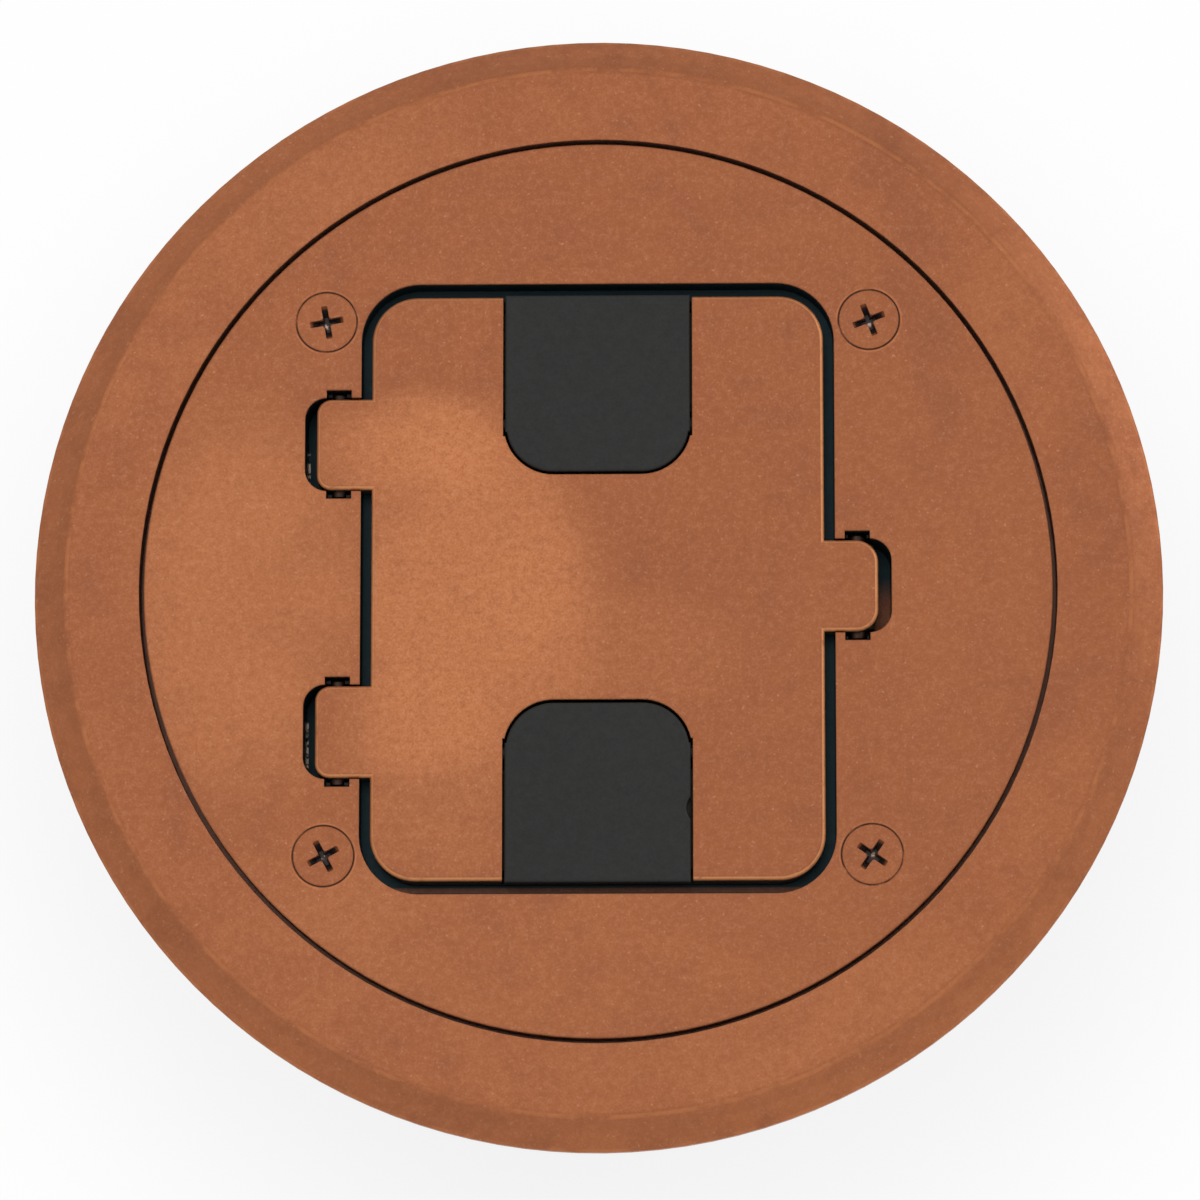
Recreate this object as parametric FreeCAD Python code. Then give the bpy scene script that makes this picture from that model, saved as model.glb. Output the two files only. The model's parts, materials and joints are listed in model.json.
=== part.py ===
import FreeCAD, Part
import math
import os

# Round flush floor box with a hinged lid over a recessed duplex socket outlet.
# Millimetres. The origin is the centre of the flange's underside, which lies on the finished floor.
# +Z is up out of the floor, +Y to the rear, and the lid's hinge is on the -X side.

# Walking surface
top_z = 4.0  # height of the flush top above the finished floor

# Floor flange
flange_w = 14.3  # from the flange's inner wall to its rim
flange_bevel_w = 4.3
flange_crest_r = 2.5  # soft edge between the flat top and the bevel
flange_rim_t = 1.4
ledge_t = 2.4
ledge_reach = 5.6  # how far the ledge stands in past the flange's inner wall
shoulder_t = 1.4  # wall of the shoulder that drops into the floor opening
flange_groove_start = 0.13  # the groove's place, as shares of the land from the shoulder to the rim
flange_groove_end = 0.58
flange_groove_depth = 1.4

# Cover plate
plate_edge_w = 9.376  # from the circle through the cover screws out to the plate's edge
plate_gap = 0.65  # ring gap between the plate and the flange
plate_t = 3.2
cover_gasket_t = 0.8
cover_gasket_w = 4.6
opening_hx = 32.0
opening_hy = 41.8
opening_corner = 8.0
lip_w = 3.0
lip_t = 2.0
frame_wall = 1.8
plate_edge_break = 0.15

# Cover screws, flat head, at the corners of a rectangle
screw_out_x = 4.76  # how far the screws stand outside the opening's long sides
screw_in_y = 5.2  # how far they stand inside the opening's ends
screw_head_r = 4.05
screw_shank_r = 2.05
screw_head_angle = 82.0
screw_length = 25.0
screw_hole_clearance = 0.25
head_clearance = 0.08
plate_boss_r = 4.4
plate_boss_gap = 0.4  # left under the plate's bosses so that the screws can pull the gasket down
cross_reach = 2.3  # half the length of the cross recess
cross_w = 0.85
cross_corner = 0.2  # corner radius of an arm, as a share of its width
cross_low_reach = 0.45  # the recess's floor, as shares of its mouth
cross_low_w = 0.7
cross_depth = 1.9
cross_turns = {"rear_left": 10.0, "rear_right": 21.0, "front_left": 28.0, "front_right": 55.0}

# Lid
lid_side_gap = 1.45  # between the lid and the opening's long sides
lid_end_gap = 1.8
lid_corner = 6.15
lid_t = 3.2
lid_edge_r = 0.6
lid_seat_gap = 0.05
seal_t = 1.0
seal_w = 1.3
rib_frame_inset = 3.05
rib_frame_end_inset = 2.55
rib_frame_corner = 4.15
rib_frame_w = 1.6
rib_depth = 3.0
rib_w = 1.4

# Hinge and latch tabs on the lid, and their pockets in the plate
pin_out = 4.45  # the pins' distance outside the lid's long sides
pin_depth = 2.5  # pin axis below the top
pin_r = 1.2
pin_end = 0.95  # how far each pin end stands out of its tab
pin_break = 0.2
tab_hw = 6.25
left_tab_y = 19.7
left_tab_reach = 7.45
left_tab_corner = 2.0
right_tab_reach = 7.25
right_tab_corner = 3.0
knuckle_r = 2.3
knuckle_inset = 0.5  # the knuckle is this much narrower than its tab at each end
knuckle_cover = 1.0  # solid tab left above the knuckle
tab_side_gap = 0.2
pocket_reach = 7.6  # from the opening's side to the pocket's end wall
pocket_corner = 3.0
pocket_depth = 6.85
pocket_floor_t = 2.55
pocket_wall = 1.6
notch_hw = 1.7
notch_depth = 1.05

# Spring clips under the pockets
clip_t = 0.5
clip_hw = 1.6
clip_pad_hw = 3.2
clip_bore_clearance = 0.06
clip_throat_hw = 0.95
clip_over_axis = 1.1
clip_wall_gap = 0.3  # between the fork and the outer wall of its notch
clip_screw_head_r = 2.0
clip_screw_head_t = 1.3
clip_screw_r = 1.0
clip_screw_reach = 2.2
clip_screw_edge = 0.6
clip_screw_slot_w = 0.6
clip_screw_slot_depth = 0.6

# Cord flaps and their slots in the lid
slot_hw = 12.8
slot_inner_y = 15.4
slot_corner = 6.8
slot_step_out = 5.3  # the slot is a little narrower within this distance of its inner end
slot_step = 0.1
flap_side_gap = 0.3
flap_inner_gap = 0.45
flap_overhang = 0.2  # the flap's outer edge stands past the lid's edge
flap_t = 2.6
flap_edge_r = 0.3
flap_pivot_out = 7.1  # from the slot's inner end
flap_pivot_depth = 1.3
flap_shoulder_out = 5.9
flap_heel_corner = 6.4
flap_heel_gap = 0.05  # the heel is this much further back from the slot's sides
flap_heel_overlap = 8.0  # how far the heel runs on under the straight-sided part
stub_r = 0.9
stub_length = 1.4
stub_clearance = 0.05
flap_ledge_w = 1.0
flap_ledge_t = 1.2
flap_ledge_out = 1.9  # from the pivot: the ledge's end face stops the open flap's heel
flap_ledge_gap = 0.05
flap_ledge_inset = 0.5  # the ledges stop this short of the plate's seat lip
slot_frame_w = 2.0
flap_recess_depth = 1.0
flap_recess_inset = 1.6
flap_rib_w = 1.4
nail_notch_out = 7.7  # from the pivot
nail_notch_r = 2.4
nail_notch_in = 0.6
nail_notch_depth = 0.9

# Plug well
under_well = 45.5  # from the box's bottom up to the well's floor
liner_wall = 1.8
liner_draft = 1.5  # how much the liner narrows on each side down to its low end
liner_corner = 6.8
well_floor_t = 2.4
well_floor_edge = 0.4
liner_side_gap = 0.2  # the liner's inner wall stands this far back from the lip's edge
well_gasket_t = 0.8
liner_pad_r = 4.5
liner_pad_h = 0.5  # the pad under the well's floor rests on the outlet's plinth

# Duplex socket outlet, set along Y
strap_half_length = 53.0
strap_t = 1.2
strap_end_hw = 9.0
strap_mid_inset = 3.4  # the strap's middle stands this far inside the base's long sides
strap_mid_end_inset = 1.0
strap_corner = 2.5
strap_hole_y = 41.65
strap_hole_slack = 0.8  # the ear's hole is this much longer across the strap
strap_window_gap = 3.0  # from the contact bars in to the strap's windows
face_above_floor = 2.0
face_edge_r = 0.5
plinth_t = 1.6
plinth_out = 0.2  # how far the face's plinth stands out past the base
plinth_corner = 3.0
outlet_y = 19.05
outlet_r = 17.05
outlet_flat = 14.3
face_gap = 0.35
base_depth = 19.0
base_hx = 16.4
base_hy = 33.5
base_corner = 2.5
base_edge_r = 1.2
base_wall = 2.0
base_post_wall = 1.6
base_divider_t = 1.6
base_hole_slack = 0.4
blade_half_spacing = 6.35
blade_y = 4.0  # blade slots' centre from the outlet's centre
ground_y = -7.9
neutral_slot_length = 8.4
hot_slot_length = 6.8
slot_width = 2.0
ground_hole_r = 2.7
ground_hole_flat = 0.8  # the ground hole's flat side, as a share of its radius
contact_t = 0.7
contact_side_gap = 1.0  # between the contact bars and the base's long walls
contact_depth = 13.0
contact_top_gap = 1.6
contact_bar_end = 8.0  # how far the bar runs on past each outlet's centre
ground_bar_hw = 2.5
sleeve_split_hw = 0.5
leaf_hy = 3.0
terminal_y = 11.0
terminal_z_below = 8.0
terminal_head_r = 3.9
terminal_head_t = 1.8
terminal_shank_r = 2.0
terminal_reach = 6.0
terminal_slot_w = 1.0
ground_screw_reach = 3.0
ground_tab_x = 10.0
ground_tab_hw = 4.0
ground_tab_length = 9.0
ground_tab_out = 3.3  # from the base's front end
housing_screw_in_x = 3.8  # from the base's long sides
housing_screw_in_y = 3.1
housing_screw_r = 1.2
housing_screw_head_r = 2.0
housing_screw_head_t = 1.0
housing_screw_slot_w = 0.6
housing_screw_bite = 1.2  # how far they thread into the face
machine_screw_r = 1.75
machine_head_r = 3.4
machine_head_t = 1.8
machine_slot_w = 0.8
strap_screw_length = 9.5
liner_screw_length = 12.0

# Box body, its cemented floor and its hubs
box_depth = 87.0  # from the finished floor down to the flat bottom
box_rim_gap = 2.3  # between the box's rim and the flange's shoulder
box_rim_h = 6.0
box_rim_out = 1.0
box_rim_slope_h = 1.0
box_draft = 1.4  # how much the outside narrows down to the bottom
box_wall = 3.2
box_floor_t = 3.0
floor_step = 1.5  # the floor's raised middle, which centres it in the wall
foot_ring_w = 9.0
foot_recess = 0.8
band_z = 34.0  # depth of the stiffening band round the wall
band_h = 3.0
band_out = 0.9
box_boss_r = 4.4
box_boss_h = 26.0
boss_floor_t = 2.0
wall_overlap = 0.6  # webs and lugs sink this far into the wall
web_hw = 2.5
insert_r = 3.1
insert_length = 12.0
insert_groove_depth = 0.4
insert_groove_hh = 0.7
pilot_r = 2.3
lug_hw = 5.5
lug_reach = 36.6
lug_h = 8.5
large_hub_r = 13.45  # the right hub, takes a 26.7 mm conduit
large_hub_up = 20.5  # height of its centre above the box's bottom
small_hub_r = 10.75  # the left, rear and front hubs, take a 21.3 mm conduit
small_hub_up = 17.5
hub_wall = 2.6
hub_hole_reach = 3.0  # the wall's holes start this far inside, where the round wall curves away
side_hub_out = 13.5  # how far the side hubs stand out of the wall
side_hub_stop = 1.25  # the conduit stops this far outside the wall
end_hub_out = 5.0  # short, because they are plugged
end_hub_stop = 1.2  # thickness of the stop at their inner ends
hub_stop_w = 2.0
hub_bead = 0.8  # thicker rim at the hub's mouth
hub_bead_w = 3.0
plug_flange_t = 1.4
plug_flange_inset = 0.3
plug_length = 6.5
plug_wall = 1.8
plug_grip_h = 1.2
plug_grip_hw = 1.2
plug_grip_share = 0.7  # the grip bar's length as a share of the plug's width

# Fits
press_gap = 0.02  # pressed and screwed pieces within one rigid group
slip_gap = 0.15  # pieces that drop into each other

# Modelling allowances
over = 1.0  # cutting shapes run this far past the faces that they cut
sink = 0.5  # ribs and bars of one solid sink this far into each other

# Plan sizes worked out from the sizes above
screw_x = opening_hx + screw_out_x
screw_y = opening_hy - screw_in_y
screw_circle_r = math.hypot(screw_x, screw_y)
plate_r = screw_circle_r + plate_edge_w
flange_in_r = plate_r + plate_gap
flange_r = flange_in_r + flange_w
flange_flat_r = flange_r - flange_bevel_w
ledge_in_r = flange_in_r - ledge_reach
shoulder_r = flange_in_r + shoulder_t
flange_groove_in_r = shoulder_r + flange_groove_start * (flange_r - shoulder_r)
flange_groove_out_r = shoulder_r + flange_groove_end * (flange_r - shoulder_r)
lid_hx = opening_hx - lid_side_gap
lid_hy = opening_hy - lid_end_gap
hinge_x = lid_hx + pin_out
pocket_end = opening_hx + pocket_reach
slot_step_y = slot_inner_y + slot_step_out
flap_pivot_y = slot_inner_y + flap_pivot_out
flap_shoulder_y = slot_inner_y + flap_shoulder_out
flap_ledge_start = flap_pivot_y + flap_ledge_out
nail_notch_y = flap_pivot_y + nail_notch_out
well_hx = opening_hx - lip_w + liner_side_gap
well_hy = opening_hy - lip_w + liner_side_gap
contact_bar_x = base_hx - base_wall - contact_side_gap
strap_mid_hw = base_hx - strap_mid_inset
strap_mid_hy = base_hy - strap_mid_end_inset
strap_window_hw = contact_bar_x - strap_window_gap
plinth_hx = base_hx + plinth_out
plinth_hy = base_hy
ground_tab_y = base_hy + ground_tab_out
housing_screw_x = base_hx - housing_screw_in_x
housing_screw_y = base_hy - housing_screw_in_y
box_rim_r = shoulder_r - box_rim_gap
box_r = box_rim_r - box_rim_out
box_bottom_r = box_r - box_draft
side_hub_end = box_r + side_hub_out
end_hub_end = box_r + end_hub_out
large_hub_z = box_depth - large_hub_up
small_hub_z = box_depth - small_hub_up

# Levels worked out from the sizes above
plate_low = top_z - plate_t
ledge_top = plate_low - cover_gasket_t
ledge_low = ledge_top - ledge_t
lid_low = top_z - lid_t
lip_top = lid_low - lid_seat_gap - seal_t
lip_low = lip_top - lip_t
pin_z = top_z - pin_depth
pocket_low = top_z - pocket_depth
housing_low = pocket_low - pocket_floor_t
flap_low = top_z - flap_t
flap_pivot_z = top_z - flap_pivot_depth
liner_top = lip_low - well_gasket_t
box_low = -box_depth
box_floor_top = box_low + box_floor_t
well_floor = box_low + under_well
well_floor_low = well_floor - well_floor_t
face_top = well_floor + face_above_floor
strap_top = well_floor_low - liner_pad_h - plinth_t
strap_low = strap_top - strap_t
base_low = strap_low - base_depth

screw_places = {
    "rear_left": (-screw_x, screw_y),
    "rear_right": (screw_x, screw_y),
    "front_left": (-screw_x, -screw_y),
    "front_right": (screw_x, -screw_y),
}

housing_screw_places = [
    (x, y) for x in (-housing_screw_x, housing_screw_x) for y in (-housing_screw_y, housing_screw_y)
]

# Each tab: side of the lid, its middle along Y, its tip and its tip's corner radius
hinge_tabs = {
    "rear": (-1, left_tab_y, lid_hx + left_tab_reach, left_tab_corner),
    "front": (-1, -left_tab_y, lid_hx + left_tab_reach, left_tab_corner),
}
latch_tab = (1, 0.0, lid_hx + right_tab_reach, right_tab_corner)
all_tabs = list(hinge_tabs.values()) + [latch_tab]


def vec(x, y, z):
    return FreeCAD.Vector(x, y, z)


def block(x_low, x_high, y_low, y_high, z_low, z_high):
    return Part.makeBox(x_high - x_low, y_high - y_low, z_high - z_low, vec(x_low, y_low, z_low))


def upright(radius, x, y, z_low, z_high):
    return Part.makeCylinder(radius, z_high - z_low, vec(x, y, z_low))


def rod(radius, start, end):
    return Part.makeCylinder(radius, (end - start).Length, start, end - start)


def rounded_outline(half_x, half_y, corner, z, centre_x=0.0, centre_y=0.0):
    # A rectangle with round corners, as one closed wire at height z.
    cut = corner * (1.0 - math.sqrt(0.5))
    edges = []
    for turn in range(4):
        # Corner signs go round anticlockwise from the +X +Y corner.
        sign_x = (1, -1, -1, 1)[turn]
        sign_y = (1, 1, -1, -1)[turn]
        side = vec(sign_x * half_x, sign_y * (half_y - corner), z)
        middle = vec(sign_x * (half_x - cut), sign_y * (half_y - cut), z)
        end = vec(sign_x * (half_x - corner), sign_y * half_y, z)
        first, last = (side, end) if turn % 2 == 0 else (end, side)
        edges.append((first, middle, last))
    shift = vec(centre_x, centre_y, 0.0)
    pieces = []
    for index, (first, middle, last) in enumerate(edges):
        next_first = edges[(index + 1) % 4][0]
        pieces.append(Part.Arc(first + shift, middle + shift, last + shift).toShape())
        pieces.append(Part.LineSegment(last + shift, next_first + shift).toShape())
    return Part.Wire(pieces)


def rounded_block(half_x, half_y, corner, z_low, z_high, centre_x=0.0, centre_y=0.0):
    outline = rounded_outline(half_x, half_y, corner, z_low, centre_x, centre_y)
    return Part.Face(outline).extrude(vec(0.0, 0.0, z_high - z_low))


def rounded_ring(half_x, half_y, corner, width, z_low, z_high):
    outer = rounded_block(half_x, half_y, corner, z_low, z_high)
    return outer.cut(rounded_block(half_x - width, half_y - width, corner - width, z_low, z_high))


def turned(profile):
    # A closed outline of (radius, height) points, turned about Z.
    points = [vec(radius, 0.0, height) for radius, height in profile]
    face = Part.Face(Part.makePolygon(points + points[:1]))
    return face.revolve(vec(0.0, 0.0, 0.0), vec(0.0, 0.0, 1.0), 360.0)


def ring(r_in, r_out, z_low, z_high):
    return turned([(r_in, z_low), (r_out, z_low), (r_out, z_high), (r_in, z_high)])


def plate_of(points, depth):
    # A flat outline given as corner points, pushed along the vector depth.
    return Part.Face(Part.makePolygon(points + points[:1])).extrude(depth)


def joined(shapes):
    whole = shapes[0]
    if len(shapes) > 1:
        whole = whole.fuse(shapes[1:])
    return whole.removeSplitter()


def flat_edges(shape, height):
    # Edges that lie wholly at one height.
    return [edge for edge in shape.Edges if all(abs(v.Z - height) < 1e-6 for v in edge.Vertexes)]


def turned_round(shape):
    # The same piece turned half round about Z, for the front end.
    copy = shape.copy()
    copy.rotate(vec(0.0, 0.0, 0.0), vec(0.0, 0.0, 1.0), 180.0)
    return copy


def save(name, shape):
    shape.exportStep(os.path.join("parts", name + ".step"))
    print(name, "solids", len(shape.Solids), "volume", round(shape.Volume, 1), "valid", shape.isValid())


def make_flange_ring():
    ring_profile = [
        (flange_r, 0.0),
        (flange_r, flange_rim_t),
        (flange_flat_r, top_z),
        (flange_in_r, top_z),
        (flange_in_r, ledge_top),
        (ledge_in_r, ledge_top),
        (ledge_in_r, ledge_low),
        (shoulder_r, ledge_low),
        (shoulder_r, 0.0),
        (flange_groove_in_r, 0.0),
        (flange_groove_in_r, flange_groove_depth),
        (flange_groove_out_r, flange_groove_depth),
        (flange_groove_out_r, 0.0),
    ]
    body = turned(ring_profile)
    crest = [edge for edge in flat_edges(body, top_z) if abs(edge.Curve.Radius - flange_flat_r) < 0.01]
    return body.makeFillet(flange_crest_r, crest)


def make_flange_gasket():
    return ring(flange_groove_in_r + slip_gap, flange_groove_out_r - slip_gap, 0.0, flange_groove_depth)


def make_cover_gasket():
    outer = plate_r - slip_gap
    return ring(outer - cover_gasket_w, outer, ledge_top, plate_low)


def tab_prism(tab, half_width, tip, corner, z_low, z_high):
    # The tab's plan, from its round-cornered tip inwards to well inside the lid.
    side, middle_y, _, _ = tab
    inner = lid_hx - lid_corner
    return rounded_block(
        (tip - inner) / 2.0, half_width, corner, z_low, z_high, side * (tip + inner) / 2.0, middle_y
    )


def make_pocket_cut(tab):
    # The tab's well in the plate, and the two notches beside it for the pin's ends.
    side, middle_y, _, _ = tab
    half_width = tab_hw + tab_side_gap
    room = tab_prism(tab, half_width, pocket_end, pocket_corner, pocket_low, top_z)
    keep = block(opening_hx, pocket_end, -half_width, half_width, pocket_low, top_z)
    if side < 0:
        keep = turned_round(keep)
    keep.translate(vec(0.0, middle_y, 0.0))
    pin_x = side * hinge_x
    reach = half_width + notch_depth
    notch = block(
        pin_x - notch_hw, pin_x + notch_hw, middle_y - reach, middle_y + reach, housing_low, top_z
    )
    floor = block(
        pin_x - notch_hw, pin_x + notch_hw, middle_y - tab_hw, middle_y + tab_hw, housing_low, pocket_low
    )
    return [room.common(keep), notch.cut(floor)]


def make_pocket_housing(tab):
    side, middle_y, _, _ = tab
    half_width = tab_hw + tab_side_gap + pocket_wall
    shell = rounded_block(
        (pocket_end + pocket_wall - opening_hx) / 2.0,
        half_width,
        pocket_corner,
        housing_low,
        plate_low,
        side * (pocket_end + pocket_wall + opening_hx) / 2.0,
        middle_y,
    )
    inner_half = block(
        opening_hx, (pocket_end + opening_hx) / 2.0, -half_width, half_width, housing_low, plate_low
    )
    if side < 0:
        inner_half = turned_round(inner_half)
    inner_half.translate(vec(0.0, middle_y, 0.0))
    return [shell, inner_half]


def countersink(x, y, clearance):
    # The flat head's cone, from the top down to the shank.
    slope = math.tan(math.radians(screw_head_angle / 2.0))
    top_r = screw_head_r + clearance
    low_r = screw_shank_r + clearance
    depth = (top_r - low_r) / slope
    return Part.makeCone(low_r, top_r, depth, vec(x, y, top_z - depth))


def make_cover_plate():
    solid = [
        upright(plate_r, 0.0, 0.0, plate_low, top_z),
        rounded_block(
            opening_hx + frame_wall, opening_hy + frame_wall, opening_corner + frame_wall, lip_low, plate_low
        ),
    ]
    for tab in all_tabs:
        solid.extend(make_pocket_housing(tab))
    for x, y in screw_places.values():
        solid.append(upright(plate_boss_r, x, y, ledge_low + plate_boss_gap, plate_low))
    body = joined(solid)
    lip_corner = opening_corner - lip_w
    cuts = [
        rounded_block(opening_hx, opening_hy, opening_corner, lip_top, top_z),
        rounded_block(opening_hx - lip_w, opening_hy - lip_w, lip_corner, lip_low, lip_top),
    ]
    for tab in all_tabs:
        cuts.extend(make_pocket_cut(tab))
        cuts.append(upright(clip_screw_r + press_gap, tab[0] * hinge_x, tab[1], housing_low, pocket_low))
    for x, y in screw_places.values():
        cuts.append(upright(screw_shank_r + screw_hole_clearance, x, y, ledge_low, top_z))
        cuts.append(countersink(x, y, head_clearance))
    body = body.cut(cuts).removeSplitter()
    rim = [
        edge
        for edge in flat_edges(body, top_z)
        if hasattr(edge.Curve, "Radius") and abs(edge.Curve.Radius - plate_r) < 0.01
    ]
    return body.makeChamfer(plate_edge_break, rim)


def cross_recess(x, y, turn):
    # A cross-shaped driver recess whose arms narrow downwards.
    arms = []
    for quarter in (0.0, 90.0):
        low_w = cross_w * cross_low_w
        low_z = top_z - cross_depth
        top = rounded_outline(cross_reach, cross_w / 2.0, cross_w * cross_corner, top_z)
        low = rounded_outline(cross_reach * cross_low_reach, low_w / 2.0, low_w * cross_corner, low_z)
        arm = Part.makeLoft([top, low], True, True)
        arm.rotate(vec(0.0, 0.0, 0.0), vec(0.0, 0.0, 1.0), turn + quarter)
        arms.append(arm)
    recess = arms[0].fuse(arms[1])
    recess.translate(vec(x, y, 0.0))
    return recess


def make_cover_screws():
    screws = []
    for name, (x, y) in screw_places.items():
        shank = upright(screw_shank_r, x, y, top_z - screw_length, top_z - over)
        body = countersink(x, y, 0.0).fuse(shank)
        screws.append(body.cut(cross_recess(x, y, cross_turns[name])).removeSplitter())
    return Part.makeCompound(screws)


def make_lid_seal():
    half_x = opening_hx - lip_w + seal_w
    half_y = opening_hy - lip_w + seal_w
    return rounded_ring(half_x, half_y, opening_corner - lip_w + seal_w, seal_w, lip_top, lip_top + seal_t)


def slot_prism(z_low, z_high):
    # The rear flap slot, open at the lid's outer end, with its narrower round inner end.
    outer_y = lid_hy + lid_t
    narrow_hw = slot_hw - slot_step
    round_end = rounded_block(
        narrow_hw,
        (outer_y - slot_inner_y) / 2.0,
        slot_corner,
        z_low,
        z_high,
        0.0,
        (outer_y + slot_inner_y) / 2.0,
    )
    wide = block(-slot_hw, slot_hw, slot_step_y, outer_y, z_low, z_high)
    return round_end.fuse(wide).removeSplitter()


def make_lid():
    plan = [rounded_block(lid_hx, lid_hy, lid_corner, lid_low, top_z)]
    for tab in all_tabs:
        plan.append(tab_prism(tab, tab_hw, tab[2], tab[3], lid_low, top_z))
    body = joined(plan)
    body = body.makeFillet(lid_edge_r, flat_edges(body, top_z))

    rib_low = lid_low - rib_depth
    frame_hx = lid_hx - rib_frame_inset
    frame_hy = lid_hy - rib_frame_end_inset
    under = [rounded_ring(frame_hx, frame_hy, rib_frame_corner, rib_frame_w, rib_low, lid_low)]
    for tab in all_tabs:
        side, middle_y, _, _ = tab
        pin_x = side * hinge_x
        knuckle = rod(
            knuckle_r,
            vec(pin_x, middle_y - tab_hw + knuckle_inset, pin_z),
            vec(pin_x, middle_y + tab_hw - knuckle_inset, pin_z),
        )
        keep = block(
            pin_x - knuckle_r,
            pin_x + knuckle_r,
            middle_y - tab_hw,
            middle_y + tab_hw,
            rib_low,
            top_z - knuckle_cover,
        )
        under.append(knuckle.common(keep))
    for sign in (-1, 1):
        edge_x = sorted((sign * slot_hw, sign * (slot_hw + slot_frame_w)))
        for end in (-1, 1):
            span = sorted((end * (slot_inner_y - slot_frame_w), end * (frame_hy - sink)))
            under.append(block(edge_x[0], edge_x[1], span[0], span[1], rib_low, lid_low))
    for end in (-1, 1):
        edge_y = sorted((end * slot_inner_y, end * (slot_inner_y - slot_frame_w)))
        under.append(block(-slot_hw, slot_hw, edge_y[0], edge_y[1], rib_low, lid_low))
    under.append(block(-frame_hx + sink, frame_hx - sink, -rib_w / 2.0, rib_w / 2.0, rib_low, lid_low))
    body = joined([body] + under)

    rear_slot = slot_prism(rib_low - over, top_z + over)
    stub_reach = slot_hw + stub_length
    rear_bore = rod(
        stub_r + stub_clearance,
        vec(-stub_reach, flap_pivot_y, flap_pivot_z),
        vec(stub_reach, flap_pivot_y, flap_pivot_z),
    )
    cuts = [rear_slot, turned_round(rear_slot), rear_bore, turned_round(rear_bore)]
    for tab in all_tabs:
        pin_x = tab[0] * hinge_x
        reach = tab_hw + over
        cuts.append(
            rod(pin_r + press_gap, vec(pin_x, tab[1] - reach, pin_z), vec(pin_x, tab[1] + reach, pin_z))
        )
    body = body.cut(cuts)

    ledge_high = flap_low - flap_ledge_gap
    ledge_end = opening_hy - lip_w - flap_ledge_inset
    ledges = []
    for sign in (-1, 1):
        edge_x = sorted((sign * (slot_hw - flap_ledge_w), sign * (slot_hw + sink)))
        rear = block(
            edge_x[0], edge_x[1], flap_ledge_start, ledge_end, ledge_high - flap_ledge_t, ledge_high
        )
        ledges.extend([rear, turned_round(rear)])
    return joined([body] + ledges)


def make_flap():
    # The rear flap: straight sides, a round heel inside the pivot, and a stub on each side.
    half_width = slot_hw - flap_side_gap
    inner_y = slot_inner_y + flap_inner_gap
    outer_y = lid_hy + flap_overhang
    heel_outer_y = flap_pivot_y + flap_heel_overlap
    heel = rounded_block(
        half_width - slot_step - flap_heel_gap,
        (heel_outer_y - inner_y) / 2.0,
        flap_heel_corner,
        flap_low,
        top_z,
        0.0,
        (heel_outer_y + inner_y) / 2.0,
    )
    wide = block(-half_width, half_width, flap_shoulder_y, outer_y, flap_low, top_z)
    body = heel.fuse(wide).removeSplitter()
    body = body.makeFillet(flap_edge_r, flat_edges(body, top_z))
    recess_hx = half_width - flap_recess_inset
    recess_in = flap_pivot_y + stub_r + flap_recess_inset
    middle = (recess_in + outer_y - flap_recess_inset) / 2.0
    rib_hw = flap_rib_w / 2.0
    for low, high in ((recess_in, middle - rib_hw), (middle + rib_hw, outer_y - flap_recess_inset)):
        body = body.cut(block(-recess_hx, recess_hx, low, high, flap_low, flap_low + flap_recess_depth))
    reach = slot_hw + stub_length - stub_clearance * 2.0
    stub = rod(stub_r, vec(-reach, flap_pivot_y, flap_pivot_z), vec(reach, flap_pivot_y, flap_pivot_z))
    return body.fuse(stub).removeSplitter()


def make_front_flap():
    # The front flap also has the shallow fingernail notch on its right edge.
    flap = turned_round(make_flap())
    half_width = slot_hw - flap_side_gap
    notch_x = half_width + nail_notch_r - nail_notch_in
    return flap.cut(upright(nail_notch_r, notch_x, -nail_notch_y, top_z - nail_notch_depth, top_z + over))


def make_pin(tab):
    pin_x = tab[0] * hinge_x
    reach = tab_hw + pin_end
    pin = rod(pin_r, vec(pin_x, tab[1] - reach, pin_z), vec(pin_x, tab[1] + reach, pin_z))
    ends = [edge for edge in pin.Edges if edge.Curve.TypeId == "Part::GeomCircle"]
    return pin.makeChamfer(pin_break, ends)


def make_clip(tab, snaps_round):
    # A stamped strip under the pocket's floor whose ends stand up as forks round the pin's ends.
    side, middle_y, _, _ = tab
    pin_x = side * hinge_x
    fork_out = tab_hw + tab_side_gap + notch_depth - clip_wall_gap
    base_low_z = housing_low - clip_t
    pieces = [
        block(pin_x - clip_hw, pin_x + clip_hw, -fork_out, fork_out, base_low_z, housing_low),
        block(pin_x - clip_pad_hw, pin_x + clip_pad_hw, -clip_pad_hw, clip_pad_hw, base_low_z, housing_low),
    ]
    for end in (-1, 1):
        edge_y = sorted((end * fork_out, end * (fork_out - clip_t)))
        pieces.append(
            block(
                pin_x - clip_hw, pin_x + clip_hw, edge_y[0], edge_y[1], base_low_z, pin_z + clip_over_axis
            )
        )
    body = joined(pieces)
    bore_r = pin_r + clip_bore_clearance
    throat = clip_throat_hw if snaps_round else bore_r
    body = body.cut(
        [
            rod(bore_r, vec(pin_x, -fork_out - over, pin_z), vec(pin_x, fork_out + over, pin_z)),
            block(
                pin_x - throat, pin_x + throat, -fork_out - over, fork_out + over, pin_z, pin_z + pin_depth
            ),
            upright(clip_screw_r + press_gap, pin_x, 0.0, base_low_z, housing_low),
        ]
    )
    body.translate(vec(0.0, middle_y, 0.0))
    return body.removeSplitter()


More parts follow.
